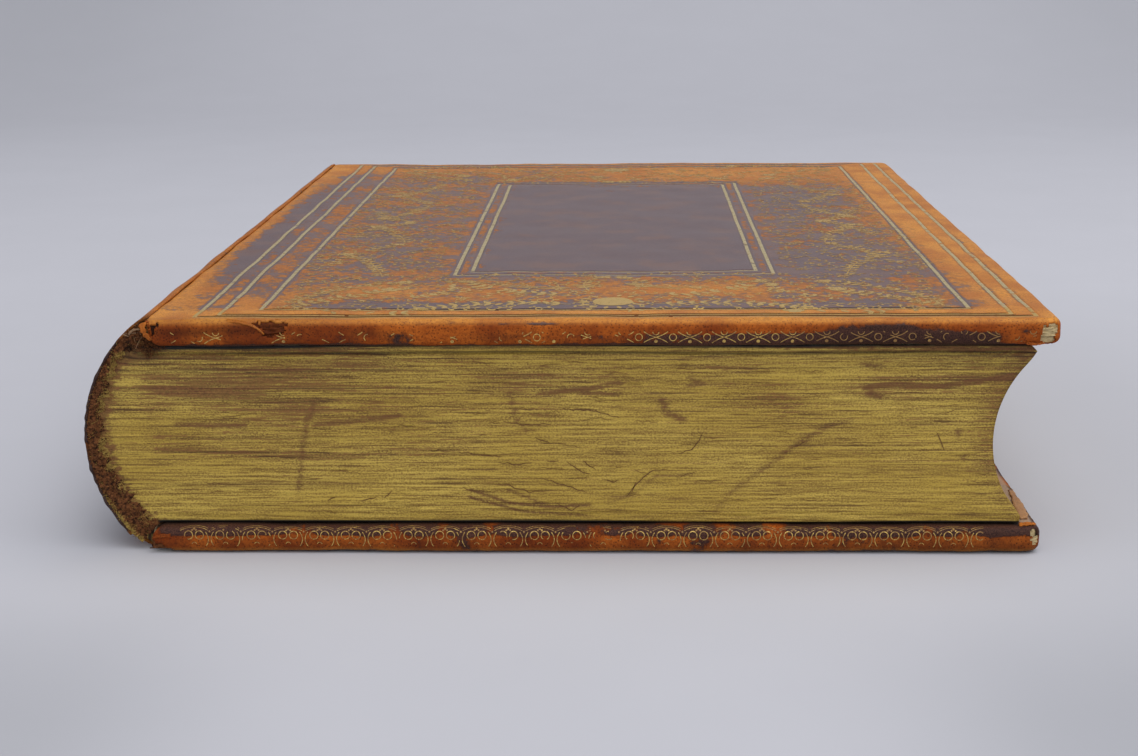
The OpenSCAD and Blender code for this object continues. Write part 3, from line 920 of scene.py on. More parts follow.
def edge_point(ox, oy, way, inset, depth, out_way, up_way, lift=0.0):
    """Places round the edge, from outline points with their outward angle and section points."""
    nx, ny = np.cos(way), np.sin(way)
    near = np.minimum(inset, corner_round)
    x, y = ox - nx * near, oy - ny * near
    deep = inset > corner_round
    x = np.where(deep, np.minimum(x, fore_x - inset), x)
    end_y = np.where(np.abs(ny) > 0.5, np.sign(ny) * half_l, y)
    y = np.where(deep, np.clip(end_y, inset - half_l, half_l - inset), y)
    z = book_t - np.minimum(depth, board_depth(x)) - np.where(up_way > 0.9, crease(x), 0)
    e = unevenness(x, y, z) + lift
    return np.stack([x + nx * out_way * e, y + ny * out_way * e, z + up_way * e], -1)


def into_lines(x, y):
    """For each tooled line, how far points lie inside its outer wall and whether its end run is nearest."""
    for inset, end in FILLETS:
        x0, x1 = front_x + joint_margin + inset, fore_x - inset
        dx = np.minimum(x - x0, x1 - x)
        dy = np.minimum(y + half_l - end, half_l - end - y)
        yield np.minimum(dx, dy), dy < dx


def groove(x, y):
    """1 in the tooled lines of the front cover, 0 elsewhere."""
    depth = 0.0
    for into, _ in into_lines(x, y):
        line = smooth_step(-0.15, 0.01, into) * smooth_step(fillet_w + 0.15, fillet_w - 0.01, into)
        depth = np.maximum(depth, line)
    return depth


def beside_lines(x, y):
    """1 in the tooled lines and close beside them, where dirt has settled. Less beside the long runs."""
    dirt = 0.0
    for into, at_end in into_lines(x, y):
        wide = np.where(at_end, 1.2, 0.8)
        flank = smooth_step(-wide, -0.3, into) * smooth_step(fillet_w + wide, fillet_w + 0.3, into)
        dirt = np.maximum(dirt, np.where(at_end, 1.0, 0.5) * flank)
    return dirt


def skin_place(run, down, lift=0.0):
    """A place on the skin from the run along the outline and the run down the section."""
    o = [np.interp(run, outline_run, outline[:, i]) for i in range(3)]
    s = [np.interp(down, section_run, section[:, i]) for i in range(2)]
    w = [np.interp(down, section_run, section_way[:, i]) for i in range(2)]
    return edge_point(*o, *s, *w, lift=lift)


def run_down(depth):
    """Run down the section at a depth on the cover's wall."""
    return float(np.interp(depth, section[3:16, 1], section_run[3:16]))


def to_back(points):
    """Turns places on the front cover into places on the back cover."""
    return points * (1, 1, -1) + (-lean, 0, book_t)


print("cover surface ready")

# %% [markdown]
# Where the dark finish is left follows the photograph: the middle panel is dark, the borders next to
# the edges are worn to tan, and so is the head end. On the edges it is left in the half by the leaves.
# A list of soft patches says so, and noise in the leather's recipe does the rest.

# %% Wear of the covers
# Each patch: its middle in x and y, its reach in x and y, and how much darker it is
PATCHES = [
    (-66, -111, 9, 10, -0.55),
    (-78.6, -15, 3, 85, 0.75),
    (-15, -112.5, 48, 3.5, 0.75),
    (62, -60, 16, 42, 0.35),
    (60, 40, 14, 40, 0.35),
    (-45, -30, 14, 60, 0.10),
    (66, -111, 18, 4, 0.40),
    (-54, -117, 12, 3.5, -0.7),
    (74, -112, 6, 5, -0.6),
    (45, 92, 44, 18, -0.5),
    (14, 60, 12, 4, -0.8),
    (88, 30, 7, 75, -0.8),
    (30, -118.5, 60, 1.6, -0.6),
    (-77, -50, 5, 34, 0.5),
    (-76, 40, 6, 40, 0.45),
    (-40, -96, 12, 6, -0.35),
    (30, -94, 16, 5, -0.35),
    (8, -98, 75, 14, -0.14),
]


def soft_box(x, y, x0, x1, y0, y1, soft):
    inside = smooth_step(x0 - soft, x0 + soft, x) * smooth_step(x1 + soft, x1 - soft, x)
    return inside * smooth_step(y0 - soft, y0 + soft, y) * smooth_step(y1 + soft, y1 - soft, y)


def dark_on_face(x, y):
    dark = -0.04 + 0.9 * soft_box(x, y, -20, 41, -72, 68, 3)
    dark = dark - 0.65 * smooth_step(-114, -121, y) - 0.65 * smooth_step(82, 92, x)
    dark = dark - 0.45 * smooth_step(92, 116, y) - 0.55 * smooth_step(-72, -80, x)
    for px, py, rx, ry, amount in PATCHES:
        dark = dark + amount * bell(x, px, rx) * bell(y, py, ry)
    return dark


# How much of the roll is left at places along the front cover's tail edge
ROLL_LEFT = [
    (-85, 0), (-77, 0.1), (-75, 0.45), (-67, 0.4), (-64, 0.1), (-60, 0.5), (-52, 0.5), (-49, 0.2),
    (-47, 0.75), (-40, 0.7), (-38, 0.15), (-15, 0.05), (-12, 0.5), (0, 0.5), (12, 0.6), (17, 0.95),
    (40, 1.05), (60, 1.05), (76, 1.0), (84, 0.8), (89, 0.25), (99, 0.1),
]


def on_tail(y):
    """Whether a place on a cover is at its tail edge."""
    return y < -half_l + 4


def roll_left(x, y):
    return np.where(on_tail(y), np.interp(x, *zip(*ROLL_LEFT)), 0.7)


def dark_on_edge(x, y, depth, patchy, on_back):
    """The finish is left where the roll is: in the half of the edge by the leaves."""
    if on_back:
        return -0.9 + 1.3 * smooth_step(3.3, 4.0, depth) + 0.6 * patchy(x, y, depth)
    dark = -0.95 + smooth_step(2.3, 3.2, depth) * (1.35 * roll_left(x, y) + 0.35 * patchy(x, y, depth))
    dark = dark + 1.0 * smooth_step(4.7, 5.2, depth)
    rim = bell(depth, 0.7, 0.4) * bell(x, -8, 20)
    smudge = bell(x, 64, 13) * bell(depth, 1.7, 1.2)
    smudge = smudge + 0.6 * smooth_step(46, 58, x) * smooth_step(90, 82, x) * smooth_step(1.6, 2.6, depth)
    spot = bell(x, 92, 1.6) * bell(depth, 2.4, 0.8)
    return dark + np.where(on_tail(y), 1.1 * rim + 1.35 * smudge + 1.1 * spot, 0)


# Each spot: its x, its depth below the face and its reach along the edge
GRIME_SPOTS = [(-77, 2.4, 6), (-67, 2.0, 7), (-40, 2.6, 5), (-33, 3.4, 3), (-12, 3.4, 8), (64, 1.6, 9)]


def edge_dirt_and_shade(x, y, depth, tucked, on_back):
    """Darkening round a cover's edge. tucked is 1 on the part that lies by the ends of the leaves, where it
    is painted shade; the rest is dirt, and on the back cover the wall also darkens towards the table and the
    fore-edge.
    """
    # tucked darkens as painted shade where the cover lies by the ends of the leaves.
    if on_back:
        wall = 0.07 + 0.2 * smooth_step(40, 75, x)
        grime = 0.95 * tucked + 0.3 * smooth_step(3.2, 1.6, depth) + wall * (depth < 5)
    else:
        right_end = smooth_step(42, 58, x) * smooth_step(92, 84, x) * on_tail(y)
        grime = 0.4 * tucked + 0.17 * smooth_step(-40, -55, x) * (depth < 5)
        grime = grime + 0.38 * right_end * smooth_step(2.2, 3.4, depth)
        for spot_x, spot_depth, wide in GRIME_SPOTS:
            grime = grime + 0.4 * bell(x, spot_x, wide) * bell(depth, spot_depth, 0.9)
    return np.clip(0.9 * grime, 0, 0.9)


print(len(PATCHES), "patches of wear on the front cover")

# %% [markdown]
# The damage is cut with a keep rule for each cover: the bare board at the tail corner of the fore-edge,
# the torn end at the joint with its small hole, a chip out of the edge, and the corner that the back
# cover has lost. The border of each cut is shaken by fine noise.


# %% Damage of the covers
shake = ripple(41, 1.3)


def inside(x, z, corners):
    """Whether points lie inside a drawn polygon."""
    odd = np.zeros(np.shape(x), bool)
    for (x0, z0), (x1, z1) in zip(corners, corners[1:] + corners[:1]):
        crosses = (z0 > z) != (z1 > z)
        odd ^= crosses & (x < (x1 - x0) * (z - z0) / (z1 - z0 + 1e-12) + x0)
    return odd


BARE_FRONT = [
    (fore_x - 4.0, book_t - 1.3),
    (fore_x - 1.2, book_t - 0.9),
    (fore_x - 0.9, book_t - 4.6),
    (fore_x - 2.4, book_t - 5.4),
    (fore_x - 4.9, book_t - 5.0),
    (fore_x - 4.5, book_t - 3.4),
]
BARE_BACK = [
    (fore_x - 2.1, book_t - 5.2),
    (fore_x - 0.5, book_t - 5.3),
    (fore_x - 0.4, book_t - 1.7),
    (fore_x - 1.7, book_t - 1.8),
    (fore_x - 2.3, book_t - 3.3),
]
HOLE = [
    (front_x + 0.8, book_t - 0.9),
    (front_x + 3.2, book_t - 0.5),
    (front_x + 2.3, book_t - 1.7),
    (front_x + 1.6, book_t - 3.2),
]
CHIP = [
    (front_x + 22.0, book_t - 0.2),
    (front_x + 29.8, book_t - 0.3),
    (front_x + 27.9, book_t - 3.0),
    (front_x + 25.3, book_t - 3.3),
]


def keep_front(x, y, z):
    n, m = 0.3 * shake(x, y, z), 0.3 * shake(z, x, y)
    tail_wall = y < -half_l + 2.0
    cuts = inside(x + n, z + m, BARE_FRONT) | inside(x + n, z + m, HOLE) | inside(x + n, z + m, CHIP)
    torn_end = (y < -half_l + 2.5 + n) & (x < front_x + 0.9 + 1.2 * n)
    return ~((tail_wall & cuts) | torn_end)


def keep_back(x, y, z):
    """z is measured as on the front cover, so the lost corner is near the face."""
    n, m = 0.3 * shake(x, y, z + 50), 0.3 * shake(z, x, y)
    bare = inside(x + n, z + m, BARE_BACK) & (y < -half_l + 2.4)
    slope = (book_t - z + n) < 3.2 - (x - front_x) * 3.2 / 6.2
    return ~(bare | (slope & (y < 4.2 - half_l + n)))


print("keep rules for both covers")

# %% [markdown]
# Now the skin itself can be made: points of the face and of the edge, the faces that the keep rule
# leaves, and the masks. On the face the dark finish also clings to the tooled lines, and near the tail
# those lines have filled with black dirt.


# %% Cover leather
SKIN_T = 0.55


def cover_skin(name, node, body, seed, keep, on_back):
    x, y = skin_x[None, :], skin_y[:, None]
    face = face_point(x, y)
    none = np.zeros(face.shape[:2])
    o, s, w = outline[None], section[:, None], section_way[:, None]
    edge = edge_point(o[..., 0], o[..., 1], o[..., 2], s[..., 0], s[..., 1], w[..., 0], w[..., 1])
    edge_x, edge_y = edge[..., 0], edge[..., 1]
    inset, depth = (np.broadcast_to(s[..., i], edge.shape[:2]) for i in range(2))
    if on_back:
        face_dark, flat_dark = 0.25 - 0.5 * smooth_step(85, 95, x) + none, 0.0
        face_grime = none
    else:
        face[..., 2] -= fillet_depth * groove(x, y)
        near_tail, dirt = smooth_step(14 - half_l, 11 - half_l, y), beside_lines(x, y)
        face_dark, flat_dark = dark_on_face(x, y) + dirt * (1 - near_tail), dark_on_face(edge_x, edge_y)
        face_grime = 1.5 * near_tail * np.clip(dirt - 0.5, 0, 1)
    over = smooth_step(0.1, 0.8, depth)
    edge_dark = dark_on_edge(edge_x, edge_y, depth, ripple(seed, 12), on_back)
    edge_dark = flat_dark * (1 - over) + edge_dark * over
    at_fore, flat_inside = np.abs(np.sin(o[..., 2])) < 0.5, depth > cover_t - 0.1
    tucked = smooth_step(1.7, 2.6, inset) * flat_inside * ~at_fore
    faded = 0.8 * smooth_step(1.0, 1.5, inset) * flat_inside * at_fore

    def both(on_face, on_edge):
        return np.concatenate([on_face.ravel(), on_edge.ravel()])

    masks = {
        "dark": 0.5 + 0.5 * both(face_dark, edge_dark),
        "edge": both(none, smooth_step(0.1, 1.3, depth)),
        "grime": both(face_grime, edge_dirt_and_shade(edge_x, edge_y, depth, tucked, on_back)),
        "pale": both(none, faded),
    }
    points = np.concatenate([face.reshape(-1, 3), edge.reshape(-1, 3)])
    face_quads = grid_quads(*face.shape[:2])
    edge_quads = grid_quads(*edge.shape[:2], none.size, flip=True)
    faces = np.concatenate([face_quads, edge_quads])
    faces = faces[keep(*points[faces].mean(1).T)]
    if on_back:
        points[:, 2] = np.minimum(points[:, 2], book_t)
        points, faces = to_back(points), faces[:, ::-1]
    skin = make_piece(name, points, faces, body, [calf], replaces=[node], masks=masks)
    thicken(skin, SKIN_T)


cover_skin("front_skin", "front_leather", "front_cover", 51, keep_front, False)
cover_skin("back_skin", "back_leather", "back_cover", 52, keep_back, True)

# %% [markdown]
# Under the damage lies what the leather covered. At the worn corner that is the swollen pasteboard, in
# the chip torn, dirty layers, and in the hole dark layers whose near black is dirt and painted shade. Each
# is a lumpy patch that follows the skin a little below its surface. Torn leather also curls, so small
# flaps are bent along curves and stand off the edges.


# %% Bared layers and flaps
lumpy = ripple(43, 0.9)


BARED_ROWS, BARED_COLS = 40, 70


def bared(name, body, x0, x1, depth0, depth1, sink, rough, recipe, masks=None, turn=None):
    """A lumpy patch on the tail edge, from x0 to x1 and from one depth on the cover's wall to another."""
    run = np.linspace(x0 - front_x, x1 - front_x, BARED_COLS)[None, :]
    top = run_down(depth0) if depth0 > 0 else 0.5
    down = np.linspace(top, run_down(depth1), BARED_ROWS)[:, None]
    bumps = rough * lumpy(run * 0.35, down * 1.9, 0 * run)
    deepest = -0.62 + 0.38 * bell(down, section_run[6], 0.8)
    points = skin_place(run + 0 * down, down + 0 * run, np.maximum(bumps - sink, deepest))
    faces = grid_quads(BARED_ROWS, BARED_COLS, flip=True)
    points, faces = (turn(points), faces[:, ::-1]) if turn else (points, faces)
    make_piece(name, points, faces, body, [recipe], masks=masks)


# In the hole at the joint the patch is mixed nearly to black, as dirt and painted shade.
SCUFFED, SOOT_AND_SHADE = {"dark": 0.3, "edge": 1.0, "grime": 0.62}, {"edge": 1.0, "grime": 0.92}
FRAYED = {"fleck": 0.1}
bared("bare_corner", "front_cover", fore_x - 6, fore_x + 0.6, 0.3, 5.1, 0.2, 0.14, pasteboard)
bared("chip_layers", "front_cover", front_x + 20.5, front_x + 31, 0.0, 4.2, 0.55, 0.3, calf, SCUFFED)
bared("joint_hole", "front_cover", front_x + 0.4, front_x + 5, 0.0, 4.6, 0.45, 0.1, calf, SOOT_AND_SHADE)
bared("bare_strip", "back_cover", fore_x - 3.5, fore_x + 1.0, 0.3, 5.1, 0.2, 0.12, pasteboard, None, to_back)
bared("lost_corner", "back_cover", front_x + 0.5, front_x + 8, 0.3, 4.6, 0.5, 0.2, torn, FRAYED, to_back)

FLAP_STEPS, FLAP_ACROSS = 16, 5


def flap(name, body, from_x, curve, side, width, recipe, masks):
    """A strip of leather along a curve with four control points, bent across its width.

    The points count from from_x, from the covers' tail end and from the table."""
    t, across = np.linspace(0, 1, FLAP_STEPS)[:, None], np.linspace(-1, 1, FLAP_ACROSS)[None, :]
    a, b, c, d = np.array(curve) + (from_x, -half_l, 0)
    path = (1 - t) ** 3 * a + 3 * t * (1 - t) ** 2 * b + 3 * t * t * (1 - t) * c + t**3 * d
    ragged_w = width / 2 * (1 - 0.55 * t**2) * (1 + 0.25 * lumpy(path[:, :1] * 2, path[:, 1:2], path[:, 2:]))
    side = np.array(side) / np.linalg.norm(side)
    points = path[:, None] + (across * ragged_w)[..., None] * side
    points = points + (0.25 * across**2 * ragged_w)[..., None] * np.array((0, -1, 0))
    faces = grid_quads(FLAP_STEPS, FLAP_ACROSS)
    thicken(make_piece(name, points, faces, body, [recipe], masks=masks), 0.3, offset=0)


tongue = [(0.1, 0.6, 48.4), (-0.2, -0.3, 47.6), (0.3, -0.5, 46.3), (1.6, -0.2, 45)]
chip_lip = [(17, 0.9, 48.8), (20, 0.35, 48.8), (22.5, -0.1, 48.5), (24.6, -0.1, 46.2)]
rag = [(-7.2, 0.3, 44.0), (-6, 0.05, 43.75), (-5, 0.05, 43.75), (-3.6, 0.1, 44.05)]
fold = [(-4.4, 2.2, 5.5), (-3, 1.9, 5.85), (-1.9, 2.1, 5.85), (-0.9, 2.8, 5.4)]
turn_in = [(-2.58, 6.0, 5.6), (-2.18, 12, 5.9), (-1.78, 19, 5.8), (-1.28, 26, 5.5)]
curl = [(3.0, 0.1, 3.6), (1.6, -0.2, 3.7), (0.2, -0.3, 3.6), (-0.7, 0.2, 3.0)]
back_fore_x = fore_x - lean
flap("joint_tongue", "front_cover", front_x, tongue, (1, 0, 0.3), 1.3, calf, {"edge": 0.7})
flap("chip_lip", "front_cover", front_x, chip_lip, (0.1, 0.5, 0.85), 0.75, calf, {"edge": 0.4})
flap("corner_rag", "front_cover", fore_x, rag, (0.2, 0, 0.9), 0.55, calf, {"edge": 0.9})
flap("corner_fold", "back_cover", back_fore_x, fold, (0, 0.9, 0.3), 1.0, calf, {"edge": 0.7})
faded_skin = {"grime": 0.28, "pale": 0.4}
flap("turn_in_strip", "back_cover", back_fore_x, turn_in, (1, 0, 0.12), 1.9, calf, faded_skin)
dirty_skin = {"dark": 0.1, "edge": 0.9, "grime": 0.1}
flap("lost_corner_lip", "back_cover", front_x, curl, (0.3, 0.2, 0.9), 0.9, calf, dirty_skin)

# %% [markdown]
# ## Leather of the back
# The back's leather is moulded over the cords, so it is a grid of angle by length whose radius swells
# at each band. At the head it rolls over the headband as a cap; at the tail it is torn off, and its
# end is ragged. The bands die away towards the joints, as the CAD bands do.


# %% Back leather
def from_back(radius, angle, y):
    """Places seen from the axis of the rounded back; angle 0 points to the middle of the back."""
    lx, lz = -radius * np.cos(angle), radius * np.sin(angle)
    x = back_x + lx * math.cos(tilt) + lz * math.sin(tilt)
    z = back_z - lx * math.sin(tilt) + lz * math.cos(tilt)
    return np.stack(np.broadcast_arrays(x, y, z), -1)


band_shift = band_rise / (1 - math.cos(joint_angle - band_stop))
ARC = 30.0  # about how many millimetres one radian is round the back


def back_radius(angle, y):
    rise = np.clip(band_rise - band_shift * (1 - np.cos(angle)), 0, None)
    away = np.abs(np.asarray(y)[..., None] - band_ys).min(-1)
    band = rise * smooth_step(3.4, 0.5, away)
    pressed = 0.35 * bell((joint_angle - np.abs(angle)) * back_r, 0, 0.6)
    uneven = 0.06 * swell(angle * ARC, y, 0 * angle + 60) + 0.05 * pucker(angle * ARC, y, 0 * angle)
    return back_r + band - pressed + uneven


angles = np.linspace(-joint_angle, joint_angle, 121)[None, :]
tail_end, cap_y = -pages_half - 0.65, half_l - edge_round
ragged = ripple(61, 2.2, 2)
by_bands = [b + np.linspace(-3.6, 3.6, 13) for b in band_ys]
rows_y = np.unique(np.concatenate([np.linspace(tail_end, cap_y, 90)] + by_bands))[:, None]
tail_shift = (0.3 * ragged(angles * ARC, 0 * angles) + 0.15) * smooth_step(6, 0, rows_y - tail_end)
spine_y = rows_y + tail_shift + 0 * angles
spine = [from_back(back_radius(angles, spine_y), angles + 0 * rows_y, spine_y)]
for a in quarter[1:]:
    y = cap_y + edge_round * math.sin(a) + 0 * angles
    spine.append(from_back(back_radius(angles, y) - edge_round * (1 - math.cos(a)), angles, y))
for inward in (2.2, 3.0):
    spine.append(from_back(back_r - inward + 0 * angles, angles, half_l - 0.15 * (inward > 2.5) + 0 * angles))
spine = np.concatenate(spine)
spine_dark = 0.55 - 1.1 * smooth_step(0.62, 0.95, np.abs(angles) / joint_angle) + 0 * spine[..., 0]
on_band = bell(np.abs(spine[..., 1, None] - band_ys).min(-1), 0, 1.6)
spine_dark = spine_dark - 0.7 * on_band - 0.3 * smooth_step(-pages_half + 14, -pages_half, spine[..., 1])
spine_faces = grid_quads(*spine.shape[:2], flip=True)
centre = spine.reshape(-1, 3)[spine_faces].mean(1)
lost = (centre[:, 2] < 2.6 + 0.5 * ragged(centre[:, 1], centre[:, 2])) & (centre[:, 1] < -pages_half + 3.5)
spine_skin = make_piece(
    "spine_skin",
    spine,
    spine_faces[~lost],
    "book_block",
    [calf],
    replaces=["spine_leather"],
    masks={
        "dark": 0.5 + 0.5 * spine_dark,
        "edge": 0.5,
        "grime": 0.55 * smooth_step(-pages_half + 9, -pages_half - 0.3, spine[..., 1]),
    },
)
thicken(spine_skin, SKIN_T)

# %% [markdown]
# ## Torn leather at the tail of the back
# The tail cap is gone. What is left on the ends of the folds is a crescent of torn leather, wider
# towards both joints, with the paper of the linings showing through. It is a lumpy strip between the
# back and a ragged inner border, with one deep hollow near the upper joint.

# %% Torn crescent
CRESCENT_STEPS, CRESCENT_ROWS = 520, 24
HOLLOW_ANGLE, HOLLOW_SUNK = 0.71, 2.4
sweep = np.linspace(-joint_angle * 0.93, joint_angle * 0.985, CRESCENT_STEPS)[None, :]
sweep_mm = sweep * ARC
reach = torn_thin * np.cos(sweep) + torn_lean * np.sin(sweep)
inner_r = reach + np.sqrt(reach**2 - torn_thin**2 - torn_lean**2 + (back_r - torn_w) ** 2)
nibble, lump, fine_lump = ripple(71, 2.6, 2), ripple(72, 2.0, 2), ripple(73, 0.8, 2)
inner_r = inner_r - 3.2 * smooth_step(0.58, 0.9, sweep)
inner_r = inner_r + 0.45 * nibble(sweep_mm, 0 * sweep) + 0.2 * fine_lump(sweep_mm, 0 * sweep)
outer_r = back_radius(sweep, tail_end + 0 * sweep) - 0.08
across = np.linspace(0, 1, CRESCENT_ROWS)[:, None]
crescent_r = inner_r + (outer_r - inner_r) * across
hump = np.sin(np.pi * across / 2) ** 0.8
rise = 0.2 + 0.3 * lump(sweep_mm, crescent_r) + 0.22 * fine_lump(sweep_mm, crescent_r)
hollow = bell((sweep - HOLLOW_ANGLE) * ARC, 0, 1.1) * bell(crescent_r, back_r - HOLLOW_SUNK, 1.0)
crescent_y = -pages_half - 0.03 - hump * np.clip(0.4 + rise * 0.7, 0.05, 1.3) + 0.5 * hollow
crescent = from_back(crescent_r, sweep + 0 * crescent_r, crescent_y)
under_cover = np.where(crescent[..., 0] > front_x - 0.4, pages_z + pages_t + 0.1, book_t)
crescent[..., 2] = np.minimum(crescent[..., 2], under_cover)
low_rim = smooth_step(0.55, 0.95, across) * smooth_step(-0.2, -0.6, np.sin(sweep))
height = np.sin(sweep)
fleck = smooth_step(0.9, 0.0, across) * (0.55 + 0.35 * nibble(sweep * 14, 0 * sweep + 5) + 0.45 * height)
fleck = fleck - 0.9 * smooth_step(0.60, 0.74, sweep) + 0.3 * smooth_step(0.0, 0.6, height) + 0.72 * low_rim
make_piece(
    "torn_crescent",
    crescent,
    grid_quads(CRESCENT_ROWS, CRESCENT_STEPS),
    "book_block",
    [torn],
    masks={"fleck": fleck, "hollow": hollow},
)

# %% [markdown]
# A shred is a narrow ribbon that rises from the crescent and bends over. Most are short. A third of them
# crowd at the upper joint, where the leather is frayed, and some of those are bold and pale.

# %% Loose shreds
SHREDS, SHRED_STEPS = 2200, 5
rng = np.random.default_rng(81)
root_angle = rng.uniform(-0.93, 0.97, SHREDS) * joint_angle
root_part = rng.uniform(-0.15, 1.0, SHREDS)
root_in = np.interp(root_angle, sweep[0], inner_r[0])
root_r = root_in + (back_r - 0.3 - root_in) * root_part
frayed = rng.random(SHREDS) < 0.36
root_angle = np.where(frayed, rng.uniform(0.80, 1.0, SHREDS) * joint_angle, root_angle)
root_r = np.where(frayed, back_r - rng.uniform(0.2, 7.0, SHREDS), root_r)
length = rng.uniform(0.4, 1.3, SHREDS) * np.where(frayed, 1.3, 1.0)
width = rng.uniform(0.03, 0.10, SHREDS)
lean_along = rng.normal(0, 0.8, SHREDS)
lean_out = rng.normal(0.0, 0.6, SHREDS) + 0.5 * (root_part > 0.75)
curl_up = rng.uniform(0.15, 0.75, SHREDS)
shred_fleck = np.where(frayed, rng.uniform(-0.9, 0.4, SHREDS), rng.uniform(-0.4, 0.8, SHREDS))
bold = frayed & (rng.random(SHREDS) < 0.14)
length = np.where(bold, rng.uniform(0.9, 2.0, SHREDS), length)
width = np.where(bold, rng.uniform(0.09, 0.17, SHREDS), width)
shred_pale = np.where(bold & (root_r > back_r - 2.5), rng.uniform(0.2, 0.95, SHREDS), 0.0)
in_hollow = np.abs(root_angle - HOLLOW_ANGLE) * ARC < 1.9
in_hollow &= np.abs(root_r - back_r + HOLLOW_SUNK) < 1.7
length = np.where(in_hollow, 0.1, length)
t = np.linspace(0, 1, SHRED_STEPS)
shred_points, shred_faces = [], []
for i in range(SHREDS):
    y = -pages_half - 0.3 - length[i] * curl_up[i] * np.sin(t * 1.8) * 0.8
    angle = root_angle[i] + lean_along[i] * length[i] * t / ARC
    radius = np.minimum(root_r[i] + lean_out[i] * length[i] * t, back_r + 0.45)
    half = width[i] * (1 - 0.7 * t) / ARC
    shred_points += [from_back(radius, angle - half, y), from_back(radius, angle + half, y)]
    shred_faces.append(grid_quads(2, SHRED_STEPS, i * 2 * SHRED_STEPS))
shred_masks = {"fleck": shred_fleck, "pale": shred_pale}
make_piece(
    "torn_shreds",
    np.concatenate(shred_points),
    np.concatenate(shred_faces),
    "book_block",
    [torn],
    masks={mask: np.repeat(values, 2 * SHRED_STEPS) for mask, values in shred_masks.items()},
)

strip = [(-3.4, 2.2, 45.7), (-2.9, 1.7, 46.5), (-2.2, 1.6, 47.0), (-1.1, 1.9, 46.8)]
flap("lining_strip", "book_block", front_x, strip, (-0.6, 0.2, 0.8), 0.5, torn, {"fleck": 0.2, "pale": 0.55})

# %% [markdown]
# ## Gilding
# Gold leaf was pressed into the leather with hot tools: straight lines with a fillet, repeating borders
# with a roll, leaves and flowers with small stamps. Each is drawn flat as a path with a width, or as a
# filled outline, and then laid on the leather a hair above its surface. Where the finish is gone the
# gold is gone too, so pieces of path are left out by the same wear and some noise.

# %% Gold finish and the gilder's tools
leaf_gold = Recipe("tooled_gold")
gold_mm = leaf_gold.place_mm()
rub = leaf_gold.noise(gold_mm, 1.4, 5.0, 0.65)
worn_gold = (rub + leaf_gold.mask("rub")).step(0.44, 0.62)
new_gold = leaf_gold.mix(leaf_gold.mask("pale"), tone(212, 176, 96), tone(206, 188, 138))
leaf_gold.surface(
    base=leaf_gold.mix(worn_gold, new_gold, tone(146, 108, 58)),
    metal=0.6 - 0.45 * worn_gold,
    rough=0.42 + 0.2 * worn_gold,
    normal=leaf_gold.bump(rub, 0.05),
)


class Gilding:
    """Collects drawn lines and shapes and lays them on a surface."""

    def __init__(self, place, worn):
        self.place, self.worn = place, worn
        self.points, self.faces, self.count = [], [], 0

    def put(self, flat, faces):
        self.points.append(self.place(flat[:, 0], flat[:, 1]))
        self.faces.extend(tuple(v + self.count for v in f) for f in faces)
        self.count += len(flat)

    def line(self, path, width, taper=False):
        path = np.asarray(path, float)
        ahead = np.gradient(path, axis=0)
        side = np.stack([-ahead[:, 1], ahead[:, 0]], -1)
        side /= np.linalg.norm(side, axis=1, keepdims=True) + 1e-9
        half = width / 2 * (np.linspace(1, 0.25, len(path)) if taper else np.ones(len(path)))
        flat = np.concatenate([path - side * half[:, None], path + side * half[:, None]])
        n = len(path)
        middle = (path[1:] + path[:-1]) / 2
        kept = np.flatnonzero(self.worn(middle[:, 0], middle[:, 1]))
        self.put(flat, [(i, i + 1, n + i + 1, n + i) for i in kept])

    def shape(self, outline):
        outline = np.asarray(outline, float)
        centre = outline.mean(0)
        if self.worn(centre[:1], centre[1:])[0]:
            n = len(outline)
            self.put(np.concatenate([outline, [centre]]), [(i, (i + 1) % n, n) for i in range(n)])

    def ring(self, x, y, radius, width, start=0.0, stop=2 * np.pi):
        a = np.linspace(start, stop, max(8, int(18 * (stop - start) / (2 * np.pi))))
        self.line(np.stack([x + radius * np.cos(a), y + radius * np.sin(a)], -1), width)

    def dot(self, x, y, radius, sides=10):
        a = np.arange(sides) * 2 * np.pi / sides
        self.shape(np.stack([x + radius * np.cos(a), y + radius * np.sin(a)], -1))

    def leaf(self, x, y, heading, length, width):
        t = np.linspace(0, 1, 7)
        half = width / 2 * np.sin(np.pi * t) ** 0.8
        lx, ly = np.concatenate([t, t[-2:0:-1]]) * length, np.concatenate([half, -half[-2:0:-1]])
        c, s = math.cos(heading), math.sin(heading)
        self.shape(np.stack([x + c * lx - s * ly, y + s * lx + c * ly], -1))

    def flower(self, x, y, size, petals=6):
        for i in range(petals):
            self.leaf(x, y, 2 * np.pi * i / petals, size, size * 0.62)

    def lay(self, name, body, rub, pale=0.0, turn=None):
        points = np.concatenate(self.points)
        points = turn(points) if turn else points
        faces = [f[::-1] for f in self.faces] if turn else self.faces
        masks = {"rub": rub, "pale": pale}
        masks = {mask: v(*points.T) if callable(v) else v for mask, v in masks.items()}
        make_piece(name, points, faces, body, [leaf_gold], masks=masks)


print("tooled gold ready")

# %% [markdown]
# The front cover's face has five framing lines. Between the outer frame and the middle panel, leafy
# sprays fill the corners and the tail band, round a plain gold disc in the middle. The design is drawn
# for one quarter and mirrored across the cover and along it.

# %% Gilding of the front cover
LIFT = 0.035
face_wear, line_wear = ripple(91, 6, 2), ripple(92, 3, 2)


def face_gold(x, y):
    return face_point(x, y, LIFT) - np.stack(np.broadcast_arrays(0, 0, fillet_depth * groove(x, y)), -1)


def face_worn(x, y):
    return 0.6 * dark_on_face(x, y) + 0.5 * face_wear(x, y) > -0.42


def line_worn(x, y):
    return 0.2 * dark_on_face(x, y) + 0.5 * line_wear(x, y) > -0.85


